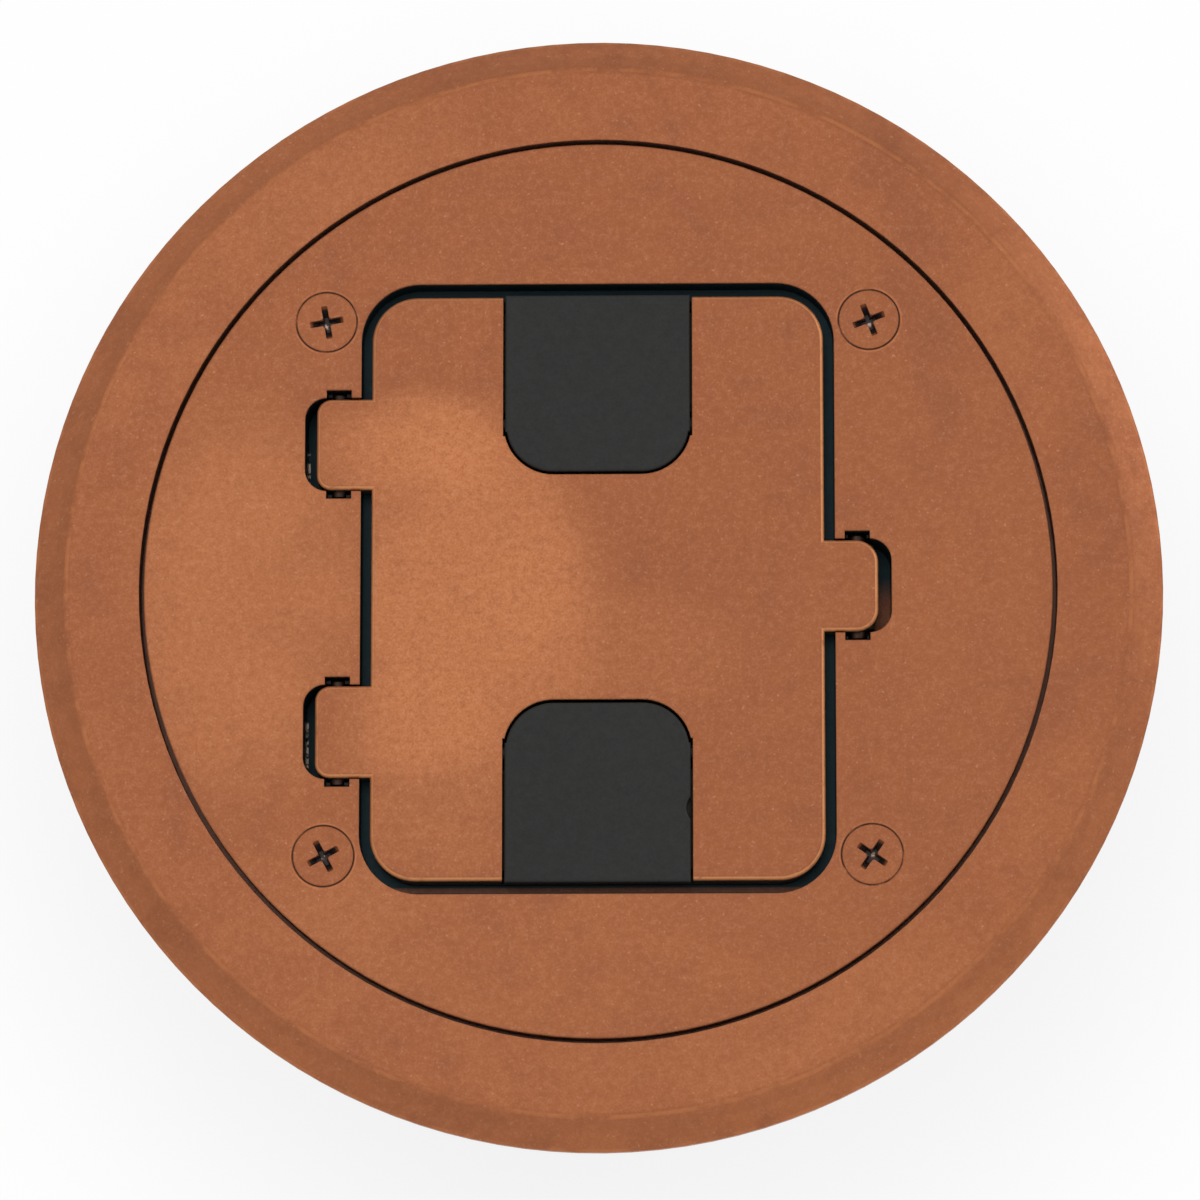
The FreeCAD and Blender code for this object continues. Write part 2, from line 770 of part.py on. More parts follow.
def make_clip_screws():
    screws = []
    seat = housing_low - clip_t
    head_low = seat - clip_screw_head_t
    half_slot = clip_screw_slot_w / 2.0
    for tab in all_tabs:
        x = tab[0] * hinge_x
        y = tab[1]
        head = upright(clip_screw_head_r, x, y, head_low, seat)
        head = head.makeFillet(clip_screw_edge, flat_edges(head, head_low))
        slot = block(
            x - clip_screw_head_r,
            x + clip_screw_head_r,
            y - half_slot,
            y + half_slot,
            head_low,
            head_low + clip_screw_slot_depth,
        )
        shank = upright(clip_screw_r, x, y, seat, seat + clip_t + clip_screw_reach)
        screws.append(head.cut(slot).fuse(shank).removeSplitter())
    return Part.makeCompound(screws)


def hub_tube(radius, depth, along_x, start, end):
    # One cylinder along X or Y, centred at this depth below the finished floor.
    if along_x:
        return rod(radius, vec(start, 0.0, -depth), vec(end, 0.0, -depth))
    return rod(radius, vec(0.0, start, -depth), vec(0.0, end, -depth))


def wall_radius(z):
    # The box wall's outer radius at height z.
    return box_r + box_draft * z / box_depth


def hub_start(depth):
    # The hub's inner end lies flush with the box wall's inner face.
    return wall_radius(-depth) - box_wall


def make_box_body():
    rim_low = ledge_low - box_rim_h
    slope_low = rim_low - box_rim_slope_h
    band_low = -band_z - band_h
    profile = [
        (wall_radius(box_floor_top) - box_wall, box_floor_top),
        (wall_radius(box_floor_top), box_floor_top),
        (wall_radius(band_low), band_low),
        (box_r + band_out, band_low),
        (box_r + band_out, -band_z),
        (wall_radius(-band_z), -band_z),
        (wall_radius(slope_low), slope_low),
        (box_rim_r, rim_low),
        (box_rim_r, ledge_low),
        (wall_radius(ledge_low) - box_wall, ledge_low),
    ]
    solid = [turned(profile)]
    boss_low = ledge_low - box_boss_h
    wall_in_r = box_r - box_wall
    for x, y in screw_places.values():
        solid.append(upright(box_boss_r, x, y, boss_low, ledge_low))
        web = block(screw_circle_r, wall_in_r + wall_overlap, -web_hw, web_hw, boss_low, ledge_low)
        web.rotate(vec(0.0, 0.0, 0.0), vec(0.0, 0.0, 1.0), math.degrees(math.atan2(y, x)))
        solid.append(web)
    for end in (-1, 1):
        wall_y = end * (wall_in_r + wall_overlap)
        lug_points = [
            vec(-lug_hw, end * lug_reach, strap_low),
            vec(-lug_hw, wall_y, strap_low),
            vec(-lug_hw, wall_y, strap_low - lug_h),
            vec(-lug_hw, end * (strap_hole_y + machine_head_r), strap_low - lug_h),
            vec(-lug_hw, end * lug_reach, strap_low - lug_h / 2.0),
        ]
        solid.append(plate_of(lug_points, vec(2.0 * lug_hw, 0.0, 0.0)))
    body = joined(solid)

    cuts = []
    hub_holes = [
        (large_hub_r, large_hub_z, True, 1),
        (small_hub_r, small_hub_z, True, -1),
        (small_hub_r, small_hub_z, False, 1),
        (small_hub_r, small_hub_z, False, -1),
    ]
    for radius, depth, along_x, end in hub_holes:
        inner_end = hub_start(depth) - hub_hole_reach
        outer_r = radius + hub_wall + press_gap
        cuts.append(hub_tube(outer_r, depth, along_x, end * inner_end, end * box_rim_r))
    for x, y in screw_places.values():
        cuts.append(upright(insert_r + press_gap, x, y, ledge_low - insert_length, ledge_low))
        cuts.append(upright(pilot_r, x, y, boss_low + boss_floor_t, ledge_low))
    for end in (-1, 1):
        hole_low = strap_low - lug_h
        cuts.append(upright(machine_screw_r + press_gap, 0.0, end * strap_hole_y, hole_low, strap_low))
    return body.cut(cuts).removeSplitter()


def make_box_floor():
    foot_in_r = box_bottom_r - foot_ring_w
    step_r = wall_radius(box_floor_top) - box_wall - slip_gap
    return turned(
        [
            (0.0, box_low + foot_recess),
            (foot_in_r, box_low + foot_recess),
            (foot_in_r, box_low),
            (box_bottom_r, box_low),
            (wall_radius(box_floor_top), box_floor_top),
            (step_r, box_floor_top),
            (step_r, box_floor_top + floor_step),
            (0.0, box_floor_top + floor_step),
        ]
    )


def make_hub(radius, depth, along_x, stop, mouth):
    # The hub on the +X or the +Y side: a sleeve with a stop at its inner end and a bead at its mouth.
    start = hub_start(depth)
    outer_r = radius + hub_wall
    sleeve = [
        hub_tube(outer_r, depth, along_x, start, mouth),
        hub_tube(outer_r + hub_bead, depth, along_x, mouth - hub_bead_w, mouth),
    ]
    bores = [
        hub_tube(radius - hub_stop_w, depth, along_x, start, stop),
        hub_tube(radius, depth, along_x, stop, mouth),
    ]
    return joined(sleeve).cut(bores)


def make_boss_inserts():
    inserts = []
    for x, y in screw_places.values():
        outer = upright(insert_r, x, y, ledge_low - insert_length, ledge_low)
        middle_z = ledge_low - insert_length / 2.0
        groove_r = insert_r - insert_groove_depth
        groove = ring(groove_r, insert_r + over, middle_z - insert_groove_hh, middle_z + insert_groove_hh)
        groove.translate(vec(x, y, 0.0))
        bore = upright(screw_shank_r + press_gap, x, y, ledge_low - insert_length, ledge_low)
        inserts.append(outer.cut([groove, bore]))
    return Part.makeCompound(inserts)


def make_hub_plug():
    # The rear plug: a hollow cup pushed into the hub, a flange on the hub's end and a grip bar.
    mouth = end_hub_end
    inner_end = mouth - plug_length
    cup_r = small_hub_r - press_gap
    flange_end = mouth + plug_flange_t
    flange_disc_r = small_hub_r + hub_wall - plug_flange_inset
    cup = hub_tube(cup_r, small_hub_z, False, inner_end, mouth)
    flange_disc = hub_tube(flange_disc_r, small_hub_z, False, mouth, flange_end)
    hollow = hub_tube(cup_r - plug_wall, small_hub_z, False, inner_end, mouth)
    grip_half = small_hub_r * plug_grip_share
    grip = block(
        -plug_grip_hw,
        plug_grip_hw,
        flange_end - sink,
        flange_end + plug_grip_h,
        -small_hub_z - grip_half,
        -small_hub_z + grip_half,
    )
    return joined([joined([cup, flange_disc]).cut(hollow), grip])


def drafted_tube(half_x, half_y, corner):
    # A rounded rectangle that narrows evenly from the well's top down to its floor.
    draft = liner_draft
    top = rounded_outline(half_x, half_y, corner, liner_top)
    low = rounded_outline(half_x - draft, half_y - draft, corner - draft, well_floor)
    return Part.makeLoft([top, low], True, True)


def make_well_liner():
    outer = drafted_tube(well_hx + liner_wall, well_hy + liner_wall, liner_corner)
    return outer.cut(drafted_tube(well_hx, well_hy, liner_corner - liner_wall))


def make_well_floor():
    # The outlet's cover: it closes the liner's low end round the two outlet faces.
    half_x = well_hx + liner_wall - liner_draft
    half_y = well_hy + liner_wall - liner_draft
    body = rounded_block(half_x, half_y, liner_corner - liner_draft, well_floor_low, well_floor)
    body = body.makeFillet(well_floor_edge, flat_edges(body, well_floor_low))
    cuts = [outlet_prism(end * outlet_y, face_gap, well_floor_low, well_floor) for end in (-1, 1)]
    cuts.append(upright(machine_screw_r + slip_gap, 0.0, 0.0, strap_top, well_floor))
    pad = upright(liner_pad_r, 0.0, 0.0, strap_top + plinth_t, well_floor_low)
    return body.fuse(pad).cut(cuts).removeSplitter()


def outlet_prism(middle_y, gap, z_low, z_high):
    # One outlet's face: a circle with flats across the ends.
    radius = outlet_r + gap
    flat = outlet_flat + gap
    disc = upright(radius, 0.0, middle_y, z_low, z_high)
    return disc.common(block(-radius, radius, middle_y - flat, middle_y + flat, z_low, z_high))


def make_well_gasket():
    outer_hx = well_hx + liner_wall
    outer_hy = well_hy + liner_wall
    return rounded_ring(outer_hx, outer_hy, liner_corner, liner_wall, liner_top, lip_low)


def pan_screw(head_r, head_t, shank_r, length, slot_w):
    # A pan-head screw standing on the XY plane's z = 0, head up, shank down.
    head = upright(head_r, 0.0, 0.0, 0.0, head_t)
    head = head.makeFillet(head_t / 2.0, flat_edges(head, head_t))
    slot = block(-head_r, head_r, -slot_w / 2.0, slot_w / 2.0, head_t / 2.0, head_t)
    return head.cut(slot).fuse(upright(shank_r, 0.0, 0.0, -length, 0.0)).removeSplitter()


def make_liner_screw():
    screw = pan_screw(
        machine_head_r, machine_head_t, machine_screw_r, liner_screw_length, machine_slot_w
    )
    screw.translate(vec(0.0, 0.0, well_floor))
    return screw


def make_strap_screws():
    screws = []
    for end in (-1, 1):
        screw = pan_screw(
            machine_head_r, machine_head_t, machine_screw_r, strap_screw_length, machine_slot_w
        )
        screw.translate(vec(0.0, end * strap_hole_y, strap_top))
        screws.append(screw)
    return Part.makeCompound(screws)


def make_receptacle_strap():
    middle = block(-strap_mid_hw, strap_mid_hw, -strap_mid_hy, strap_mid_hy, strap_low, strap_top)
    length = rounded_block(strap_end_hw, strap_half_length, strap_corner, strap_low, strap_top)
    tab_high_y = -ground_tab_y
    tab_low_y = tab_high_y - strap_t
    ground_tab = [
        block(
            ground_tab_x - ground_tab_hw,
            ground_tab_x + ground_tab_hw,
            tab_low_y,
            tab_high_y,
            strap_low - ground_tab_length,
            strap_top,
        ),
        block(
            strap_end_hw - sink,
            ground_tab_x + ground_tab_hw,
            tab_low_y,
            -strap_mid_hy + sink,
            strap_low,
            strap_top,
        ),
    ]
    body = joined([middle, length] + ground_tab)
    cuts = [upright(machine_screw_r + press_gap, 0.0, 0.0, strap_low, strap_top)]
    for end in (-1, 1):
        cuts.append(
            rounded_block(
                machine_screw_r + slip_gap + strap_hole_slack,
                machine_screw_r + slip_gap,
                machine_screw_r,
                strap_low,
                strap_top,
                0.0,
                end * strap_hole_y,
            )
        )
        window_low = end * outlet_y + ground_y - ground_hole_r - 1.3
        window_high = end * outlet_y + blade_y + neutral_slot_length / 2.0 + 1.0
        cuts.append(
            block(-strap_window_hw, strap_window_hw, window_low, window_high, strap_low, strap_top)
        )
    for x, y in housing_screw_places:
        cuts.append(upright(housing_screw_r + slip_gap, x, y, strap_low, strap_top))
    screw_z = strap_low - ground_tab_length / 2.0
    cuts.append(
        rod(
            terminal_shank_r + press_gap,
            vec(ground_tab_x, tab_low_y - over, screw_z),
            vec(ground_tab_x, tab_high_y + over, screw_z),
        )
    )
    return body.cut(cuts).removeSplitter()


def blade_openings(z_low, z_high):
    # Slots for the two flat blades and the round ground pin, at both outlets.
    openings = []
    for end in (-1, 1):
        middle_y = end * outlet_y
        for side, length in ((-1, neutral_slot_length), (1, hot_slot_length)):
            x = side * blade_half_spacing
            y = middle_y + blade_y
            half_w = slot_width / 2.0
            half_l = length / 2.0
            openings.append(block(x - half_w, x + half_w, y - half_l, y + half_l, z_low, z_high))
        y = middle_y + ground_y
        openings.append(upright(ground_hole_r, 0.0, y, z_low, z_high))
        flat_y = y - ground_hole_r * ground_hole_flat
        openings.append(block(-ground_hole_r, ground_hole_r, flat_y, y, z_low, z_high))
    return openings


def make_receptacle_face():
    plinth_top = strap_top + plinth_t
    solid = [rounded_block(plinth_hx, plinth_hy, plinth_corner, strap_top, plinth_top)]
    for end in (-1, 1):
        outlet = outlet_prism(end * outlet_y, 0.0, plinth_top, face_top)
        solid.append(outlet.makeFillet(face_edge_r, flat_edges(outlet, face_top)))
    body = joined(solid)
    cuts = blade_openings(strap_top, face_top)
    cuts.append(upright(machine_screw_r + slip_gap, 0.0, 0.0, strap_top, plinth_top))
    for x, y in housing_screw_places:
        cuts.append(upright(housing_screw_r + press_gap, x, y, strap_top, strap_top + housing_screw_bite))
    return body.cut(cuts).removeSplitter()


def make_receptacle_base():
    body = rounded_block(base_hx, base_hy, base_corner, base_low, strap_low)
    body = body.makeFillet(base_edge_r, flat_edges(body, base_low))
    room_floor = base_low + base_wall
    room_corner = base_corner / 2.0
    room = rounded_block(base_hx - base_wall, base_hy - base_wall, room_corner, room_floor, strap_low)
    for x, y in housing_screw_places:
        room = room.cut(upright(housing_screw_r + base_post_wall, x, y, base_low, strap_low))
    body = body.cut(room)
    divider_hx = base_hx - base_wall + sink
    divider_hw = base_divider_t / 2.0
    divider_top = strap_low - contact_depth
    divider = block(-divider_hx, divider_hx, -divider_hw, divider_hw, room_floor - sink, divider_top)
    body = joined([body, divider])
    cuts = []
    screw_z = strap_low - terminal_z_below
    for side in (-1, 1):
        for y in (-terminal_y, terminal_y):
            cuts.append(
                rod(
                    terminal_shank_r + base_hole_slack,
                    vec(side * (base_hx - base_wall - over), y, screw_z),
                    vec(side * (base_hx + over), y, screw_z),
                )
            )
    for x, y in housing_screw_places:
        cuts.append(upright(housing_screw_r + press_gap, x, y, base_low, strap_low))
    return body.cut(cuts).removeSplitter()


def make_power_contact(side):
    # A brass bar down one side, with a pair of spring leaves for the blade at each outlet.
    top = strap_low - contact_top_gap
    low = strap_low - contact_depth
    bar_x = side * contact_bar_x
    blade_x = side * blade_half_spacing
    gap = slot_width / 2.0
    bar = sorted((bar_x, bar_x - side * contact_t))
    bridge = sorted((bar_x, blade_x - side * (gap + contact_t)))
    bar_hy = outlet_y + contact_bar_end
    pieces = [block(bar[0], bar[1], -bar_hy, bar_hy, low, top)]
    for end in (-1, 1):
        y = end * outlet_y + blade_y
        pieces.append(block(bridge[0], bridge[1], y - leaf_hy, y + leaf_hy, low, low + contact_t))
        for leaf in (-1, 1):
            edge = sorted((blade_x + leaf * gap, blade_x + leaf * (gap + contact_t)))
            pieces.append(block(edge[0], edge[1], y - leaf_hy, y + leaf_hy, low, top))
    body = joined(pieces)
    cuts = []
    screw_z = strap_low - terminal_z_below
    for y in (-terminal_y, terminal_y):
        cuts.append(
            rod(
                terminal_shank_r + press_gap,
                vec(bar[0] - over, y, screw_z),
                vec(bar[1] + over, y, screw_z),
            )
        )
    return body.cut(cuts)


def make_terminal_screws(side):
    screws = []
    for y in (-terminal_y, terminal_y):
        screw = pan_screw(
            terminal_head_r, terminal_head_t, terminal_shank_r, terminal_reach, terminal_slot_w
        )
        screw.rotate(vec(0.0, 0.0, 0.0), vec(0.0, 1.0, 0.0), side * 90.0)
        screw.translate(vec(side * base_hx, y, strap_low - terminal_z_below))
        screws.append(screw)
    return Part.makeCompound(screws)


def make_ground_contact():
    # A strip under the yoke's middle with a sleeve for the ground pin at each outlet.
    top = strap_low
    low = strap_low - contact_depth
    sleeve_r = ground_hole_r + contact_t
    span_low = -outlet_y + ground_y
    span_high = outlet_y + ground_y
    solid = [block(-ground_bar_hw, ground_bar_hw, span_low, span_high, top - contact_t, top)]
    cuts = [upright(machine_screw_r + slip_gap, 0.0, 0.0, top - contact_t, top)]
    for y in (span_low, span_high):
        solid.append(upright(sleeve_r, 0.0, y, low, top))
        cuts.append(upright(ground_hole_r, 0.0, y, low, top))
        split_top = top - contact_t * 2.0
        cuts.append(block(-sleeve_split_hw, sleeve_split_hw, y, y + sleeve_r + over, low, split_top))
    return joined(solid).cut(cuts)


def make_ground_screw():
    screw = pan_screw(
        terminal_head_r, terminal_head_t, terminal_shank_r, ground_screw_reach, terminal_slot_w
    )
    screw.rotate(vec(0.0, 0.0, 0.0), vec(1.0, 0.0, 0.0), 90.0)
    screw.translate(vec(ground_tab_x, -ground_tab_y - strap_t, strap_low - ground_tab_length / 2.0))
    return screw


def make_housing_screws():
    # Screws from below that pull the base, the yoke and the face together.
    screws = []
    length = strap_top + housing_screw_bite - base_low
    for x, y in housing_screw_places:
        screw = pan_screw(
            housing_screw_head_r, housing_screw_head_t, housing_screw_r, length, housing_screw_slot_w
        )
        screw.rotate(vec(0.0, 0.0, 0.0), vec(1.0, 0.0, 0.0), 180.0)
        screw.translate(vec(x, y, base_low))
        screws.append(screw)
    return Part.makeCompound(screws)


os.makedirs("parts", exist_ok=True)

flap = make_flap()
right_hub = make_hub(large_hub_r, large_hub_z, True, box_r + side_hub_stop, side_hub_end)
left_hub = make_hub(small_hub_r, small_hub_z, True, box_r + side_hub_stop, side_hub_end)
end_hub = make_hub(small_hub_r, small_hub_z, False, hub_start(small_hub_z) + end_hub_stop, end_hub_end)
hub_plug = make_hub_plug()
nodes = {
    "flange_ring": make_flange_ring(),
    "flange_gasket": make_flange_gasket(),
    "cover_plate": make_cover_plate(),
    "cover_gasket": make_cover_gasket(),
    "cover_screws": make_cover_screws(),
    "lid_seal": make_lid_seal(),
    "hinge_clip_rear": make_clip(hinge_tabs["rear"], True),
    "hinge_clip_front": make_clip(hinge_tabs["front"], True),
    "latch_clip": make_clip(latch_tab, False),
    "clip_screws": make_clip_screws(),
    "box_body": make_box_body(),
    "box_floor": make_box_floor(),
    "boss_inserts": make_boss_inserts(),
    "hub_right": right_hub,
    "hub_left": turned_round(left_hub),
    "hub_rear": end_hub,
    "hub_front": turned_round(end_hub),
    "hub_plug_rear": hub_plug,
    "hub_plug_front": turned_round(hub_plug),
    "well_liner": make_well_liner(),
    "well_floor": make_well_floor(),
    "well_gasket": make_well_gasket(),
    "liner_screw": make_liner_screw(),
    "strap_screws": make_strap_screws(),
    "receptacle_face": make_receptacle_face(),
    "receptacle_base": make_receptacle_base(),
    "receptacle_strap": make_receptacle_strap(),
    "housing_screws": make_housing_screws(),
    "hot_contact": make_power_contact(1),
    "neutral_contact": make_power_contact(-1),
    "ground_contact": make_ground_contact(),
    "hot_terminal_screws": make_terminal_screws(1),
    "neutral_terminal_screws": make_terminal_screws(-1),
    "ground_screw": make_ground_screw(),
    "lid": make_lid(),
    "hinge_pin_rear": make_pin(hinge_tabs["rear"]),
    "hinge_pin_front": make_pin(hinge_tabs["front"]),
    "latch_pin": make_pin(latch_tab),
    "flap_rear": flap,
    "flap_front": make_front_flap(),
}
for name, shape in nodes.items():
    save(name, shape)
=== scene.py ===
import bpy
import json
from mathutils import Matrix, Vector


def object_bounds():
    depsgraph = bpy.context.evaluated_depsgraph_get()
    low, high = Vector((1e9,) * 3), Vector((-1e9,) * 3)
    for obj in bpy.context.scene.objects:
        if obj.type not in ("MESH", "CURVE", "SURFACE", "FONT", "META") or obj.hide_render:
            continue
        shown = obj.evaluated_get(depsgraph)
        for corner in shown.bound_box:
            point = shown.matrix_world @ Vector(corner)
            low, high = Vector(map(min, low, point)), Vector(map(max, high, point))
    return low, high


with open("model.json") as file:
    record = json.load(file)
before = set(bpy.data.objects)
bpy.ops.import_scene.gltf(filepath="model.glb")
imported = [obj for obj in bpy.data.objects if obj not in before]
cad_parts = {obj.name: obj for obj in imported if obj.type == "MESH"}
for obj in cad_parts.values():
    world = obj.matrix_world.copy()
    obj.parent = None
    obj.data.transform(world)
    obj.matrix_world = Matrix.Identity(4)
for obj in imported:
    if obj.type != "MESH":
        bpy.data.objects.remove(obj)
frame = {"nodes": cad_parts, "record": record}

mm = 0.001
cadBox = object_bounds()
scene = bpy.context.scene
print("frame loaded:", len(frame["nodes"]), "nodes")


# The camera comes first, because every look is seen through it.
camera = {
    "place": (23.1 * mm, -181.1 * mm, 970.5 * mm),
    "aim": (0.335 * mm, -1.887 * mm, 4.0 * mm),
    "lens": 219.1,
    "sensor": 36.0,
    "clip": (0.05, 20.0),
}


def placeCamera(values):
    # Right is forward x +Y and up is right x forward, so the image's up side follows +Y.
    place = Vector(values["place"])
    forward = (Vector(values["aim"]) - place).normalized()
    right = forward.cross(Vector((0.0, 1.0, 0.0))).normalized()
    up = right.cross(forward)
    data = bpy.data.cameras.new("camera")
    data.lens = values["lens"]
    data.sensor_width = values["sensor"]
    data.sensor_fit = "HORIZONTAL"
    data.clip_start, data.clip_end = values["clip"]
    cameraObject = bpy.data.objects.new("camera", data)
    scene.collection.objects.link(cameraObject)
    rows = [list(axis) + [at] for axis, at in zip(zip(right, up, -forward), place)]
    cameraObject.matrix_world = Matrix(rows + [[0.0, 0.0, 0.0, 1.0]])
    scene.camera = cameraObject


placeCamera(camera)
scene.view_settings.view_transform = "Standard"
print("camera placed")


# Node helpers. A value may be a number, a colour or another node's socket.

def link(tree, source, target):
    tree.links.new(source, target)


def feed(tree, socket, value):
    # Sets a number or a colour on the socket itself, and links a socket to it.
    if isinstance(value, (int, float)):
        socket.default_value = value
    elif isinstance(value, (tuple, list)):
        socket.default_value = (*value, 1.0)
    elif value is not None:
        link(tree, value, socket)


def addNode(tree, kind, **values):
    node = tree.nodes.new(kind)
    for name, value in values.items():
        setattr(node, name, value)
    return node


def mathNode(tree, operation, first, second=None, third=None, clamp=False):
    node = addNode(tree, "ShaderNodeMath", operation=operation, use_clamp=clamp)
    for socket, value in zip(node.inputs, (first, second, third)):
        feed(tree, socket, value)
    return node.outputs[0]


def multiplied(tree, *masks):
    product = masks[0]
    for mask in masks[1:]:
        product = mathNode(tree, "MULTIPLY", product, mask)
    return product


def opposite(tree, mask):
    return mathNode(tree, "SUBTRACT", 1.0, mask)


def mixColour(tree, share, first, second):
    # share 0 gives the first colour and share 1 the second.
    node = addNode(tree, "ShaderNodeMix", data_type="RGBA")
    feed(tree, node.inputs[0], share)
    feed(tree, node.inputs[6], first)
    feed(tree, node.inputs[7], second)
    return node.outputs[2]


def noiseNode(tree, vector, scale, detail=2.0, roughness=0.5):
    node = addNode(tree, "ShaderNodeTexNoise")
    node.inputs["Scale"].default_value = scale
    node.inputs["Detail"].default_value = detail
    node.inputs["Roughness"].default_value = roughness
    link(tree, vector, node.inputs["Vector"])
    return node.outputs["Fac"]


def rangeNode(tree, value, fromLow, fromHigh, toLow=0.0, toHigh=1.0, smooth=False):
    node = addNode(tree, "ShaderNodeMapRange")
    node.interpolation_type = "SMOOTHSTEP" if smooth else "LINEAR"
    for index, number in enumerate((fromLow, fromHigh, toLow, toHigh)):
        node.inputs[index + 1].default_value = number
    link(tree, value, node.inputs[0])
    return node.outputs[0]


def splitVector(tree, vector):
    node = addNode(tree, "ShaderNodeSeparateXYZ")
    link(tree, vector, node.inputs[0])
    return node.outputs[0], node.outputs[1], node.outputs[2]


def scaledPlace(tree, place, scale):
    node = addNode(tree, "ShaderNodeVectorMath", operation="SCALE")
    link(tree, place, node.inputs[0])
    feed(tree, node.inputs["Scale"], scale)
    return node.outputs[0]


def brokenNoise(tree, place, scale, low, high):
    # A patchy mask that breaks a line up: 0 where the noise is under low, 1 over high.
    noise = noiseNode(tree, scaledPlace(tree, place, scale), 1.0, 2.0, 0.6)
    return rangeNode(tree, noise, low, high, 0.0, 1.0, True)


def circleReach(tree, x, y):
    # Distance from the axis: the root of x squared plus y squared.
    square = mathNode(tree, "ADD", multiplied(tree, x, x), multiplied(tree, y, y))
    return mathNode(tree, "SQRT", square)


def bandMask(tree, value, middle, half, soft):
    # 1 where the value lies within half of the middle, fading out over the soft width.
    away = mathNode(tree, "ABSOLUTE", mathNode(tree, "SUBTRACT", value, middle))
    return rangeNode(tree, away, half, half + soft, 1.0, 0.0, True)


# Shader groups that the finishes share.

floatSocket = "NodeSocketFloat"
vectorSocket = "NodeSocketVector"


def newGroup(name, inputs, outputs):
    group = bpy.data.node_groups.new(name, "ShaderNodeTree")
    for socketName, kind, default in inputs:
        socket = group.interface.new_socket(name=socketName, in_out="INPUT", socket_type=kind)
        if default is not None:
            socket.default_value = default
    for socketName, kind in outputs:
        group.interface.new_socket(name=socketName, in_out="OUTPUT", socket_type=kind)
    start = group.nodes.new("NodeGroupInput")
    end = group.nodes.new("NodeGroupOutput")
    return group, start.outputs, end.inputs


speckle = {
    "fineNoise": (1.0, 3.0, 0.65),  # scale, detail and roughness
    "coarseNoise": (0.32, 2.0, 0.5),
    "fleckNoise": (0.55, 1.0, 0.5),
    "fineTone": 0.65,
    "coarseTone": 0.35,
    "toneRange": (0.3, 0.7),
    "beadScale": 0.42,
    "beadReach": 0.75,
    "beadHeight": 0.4,
    "fineHeight": 0.6,
    "fleckRange": (0.68, 0.76),
}


def makeSpeckleGroup(values):
    # Powdery speckle: Tone is a fine and a coarse noise added up and spread from 0 to 1, Height
    # is round beads plus the fine noise, and Fleck is the peaks of a third noise.
    group, source, target = newGroup(
        "speckle",
        [("Vector", vectorSocket, None), ("Scale", floatSocket, 2400.0),
         ("Flecks", floatSocket, 0.3)],
        [("Tone", floatSocket), ("Height", floatSocket), ("Fleck", floatSocket)],
    )
    place = scaledPlace(group, source["Vector"], source["Scale"])
    fine = noiseNode(group, place, *values["fineNoise"])
    coarse = noiseNode(group, place, *values["coarseNoise"])
    tone = mathNode(group, "ADD", multiplied(group, fine, values["fineTone"]),
                    multiplied(group, coarse, values["coarseTone"]))
    link(group, rangeNode(group, tone, *values["toneRange"]), target["Tone"])
    cells = addNode(group, "ShaderNodeTexVoronoi", feature="F1")
    cells.inputs["Scale"].default_value = values["beadScale"]
    link(group, place, cells.inputs["Vector"])
    bead = rangeNode(group, cells.outputs["Distance"], 0.0, values["beadReach"], 1.0, 0.0, True)
    height = mathNode(group, "ADD", multiplied(group, bead, values["beadHeight"]),
                      multiplied(group, fine, values["fineHeight"]))
    link(group, height, target["Height"])
    peaks = noiseNode(group, place, *values["fleckNoise"])
    fleck = rangeNode(group, peaks, *values["fleckRange"], 0.0, 1.0, True)
    link(group, multiplied(group, fleck, source["Flecks"]), target["Fleck"])
    return group


def makeBlotchGroup():
    # Slow unevenness of a finish: a low noise, centred on 0 and times the strength.
    group, source, target = newGroup(
        "blotch",
        [("Vector", vectorSocket, None), ("Scale", floatSocket, 30.0),
         ("Strength", floatSocket, 1.0)],
        [("Value", floatSocket)],
    )
    place = scaledPlace(group, source["Vector"], source["Scale"])
    centred = mathNode(group, "SUBTRACT", noiseNode(group, place, 1.0, 3.0, 0.5), 0.5)
    link(group, multiplied(group, centred, source["Strength"]), target["Value"])
    return group


edgeWearHighlightValues = {
    "samples": 6,
    "turnRange": (0.01, 0.16),  # how far the rounded normal turns where wear starts and is full
    "breakRange": (0.35, 0.62),
    "leastWear": 0.35,
}


def makeEdgeWearHighlightGroup(values):
    # Edges for wear and for a painted highlight: how far a rounded-corner normal turns away from
    # the real one, which is 1 minus their dot product, broken up by noise.
    group, source, target = newGroup(
        "edgeWearHighlight",
        [("Vector", vectorSocket, None), ("Width", floatSocket, 0.0004),
         ("Breakup", floatSocket, 900.0)],
        [("Mask", floatSocket), ("Normal", vectorSocket)],
    )
    bevel = addNode(group, "ShaderNodeBevel", samples=values["samples"])
    link(group, source["Width"], bevel.inputs["Radius"])
    geometry = addNode(group, "ShaderNodeNewGeometry")
    dot = addNode(group, "ShaderNodeVectorMath", operation="DOT_PRODUCT")
    link(group, bevel.outputs[0], dot.inputs[0])
    link(group, geometry.outputs["True Normal"], dot.inputs[1])
    turned = opposite(group, dot.outputs["Value"])
    edge = rangeNode(group, turned, *values["turnRange"], 0.0, 1.0, True)
    place = scaledPlace(group, source["Vector"], source["Breakup"])
    noise = noiseNode(group, place, 1.0, 2.0, 0.6)
    broken = rangeNode(group, noise, *values["breakRange"], values["leastWear"], 1.0, True)
    link(group, multiplied(group, edge, broken), target["Mask"])
    link(group, bevel.outputs[0], target["Normal"])
    return group


speckleGroup = makeSpeckleGroup(speckle)
blotchGroup = makeBlotchGroup()
edgeWearHighlightGroup = makeEdgeWearHighlightGroup(edgeWearHighlightValues)
print("shader groups made")


def useGroup(tree, group, place, **values):
    node = addNode(tree, "ShaderNodeGroup", node_tree=group)
    link(tree, place, node.inputs["Vector"])
    for name, value in values.items():
        node.inputs[name].default_value = value
    return node.outputs


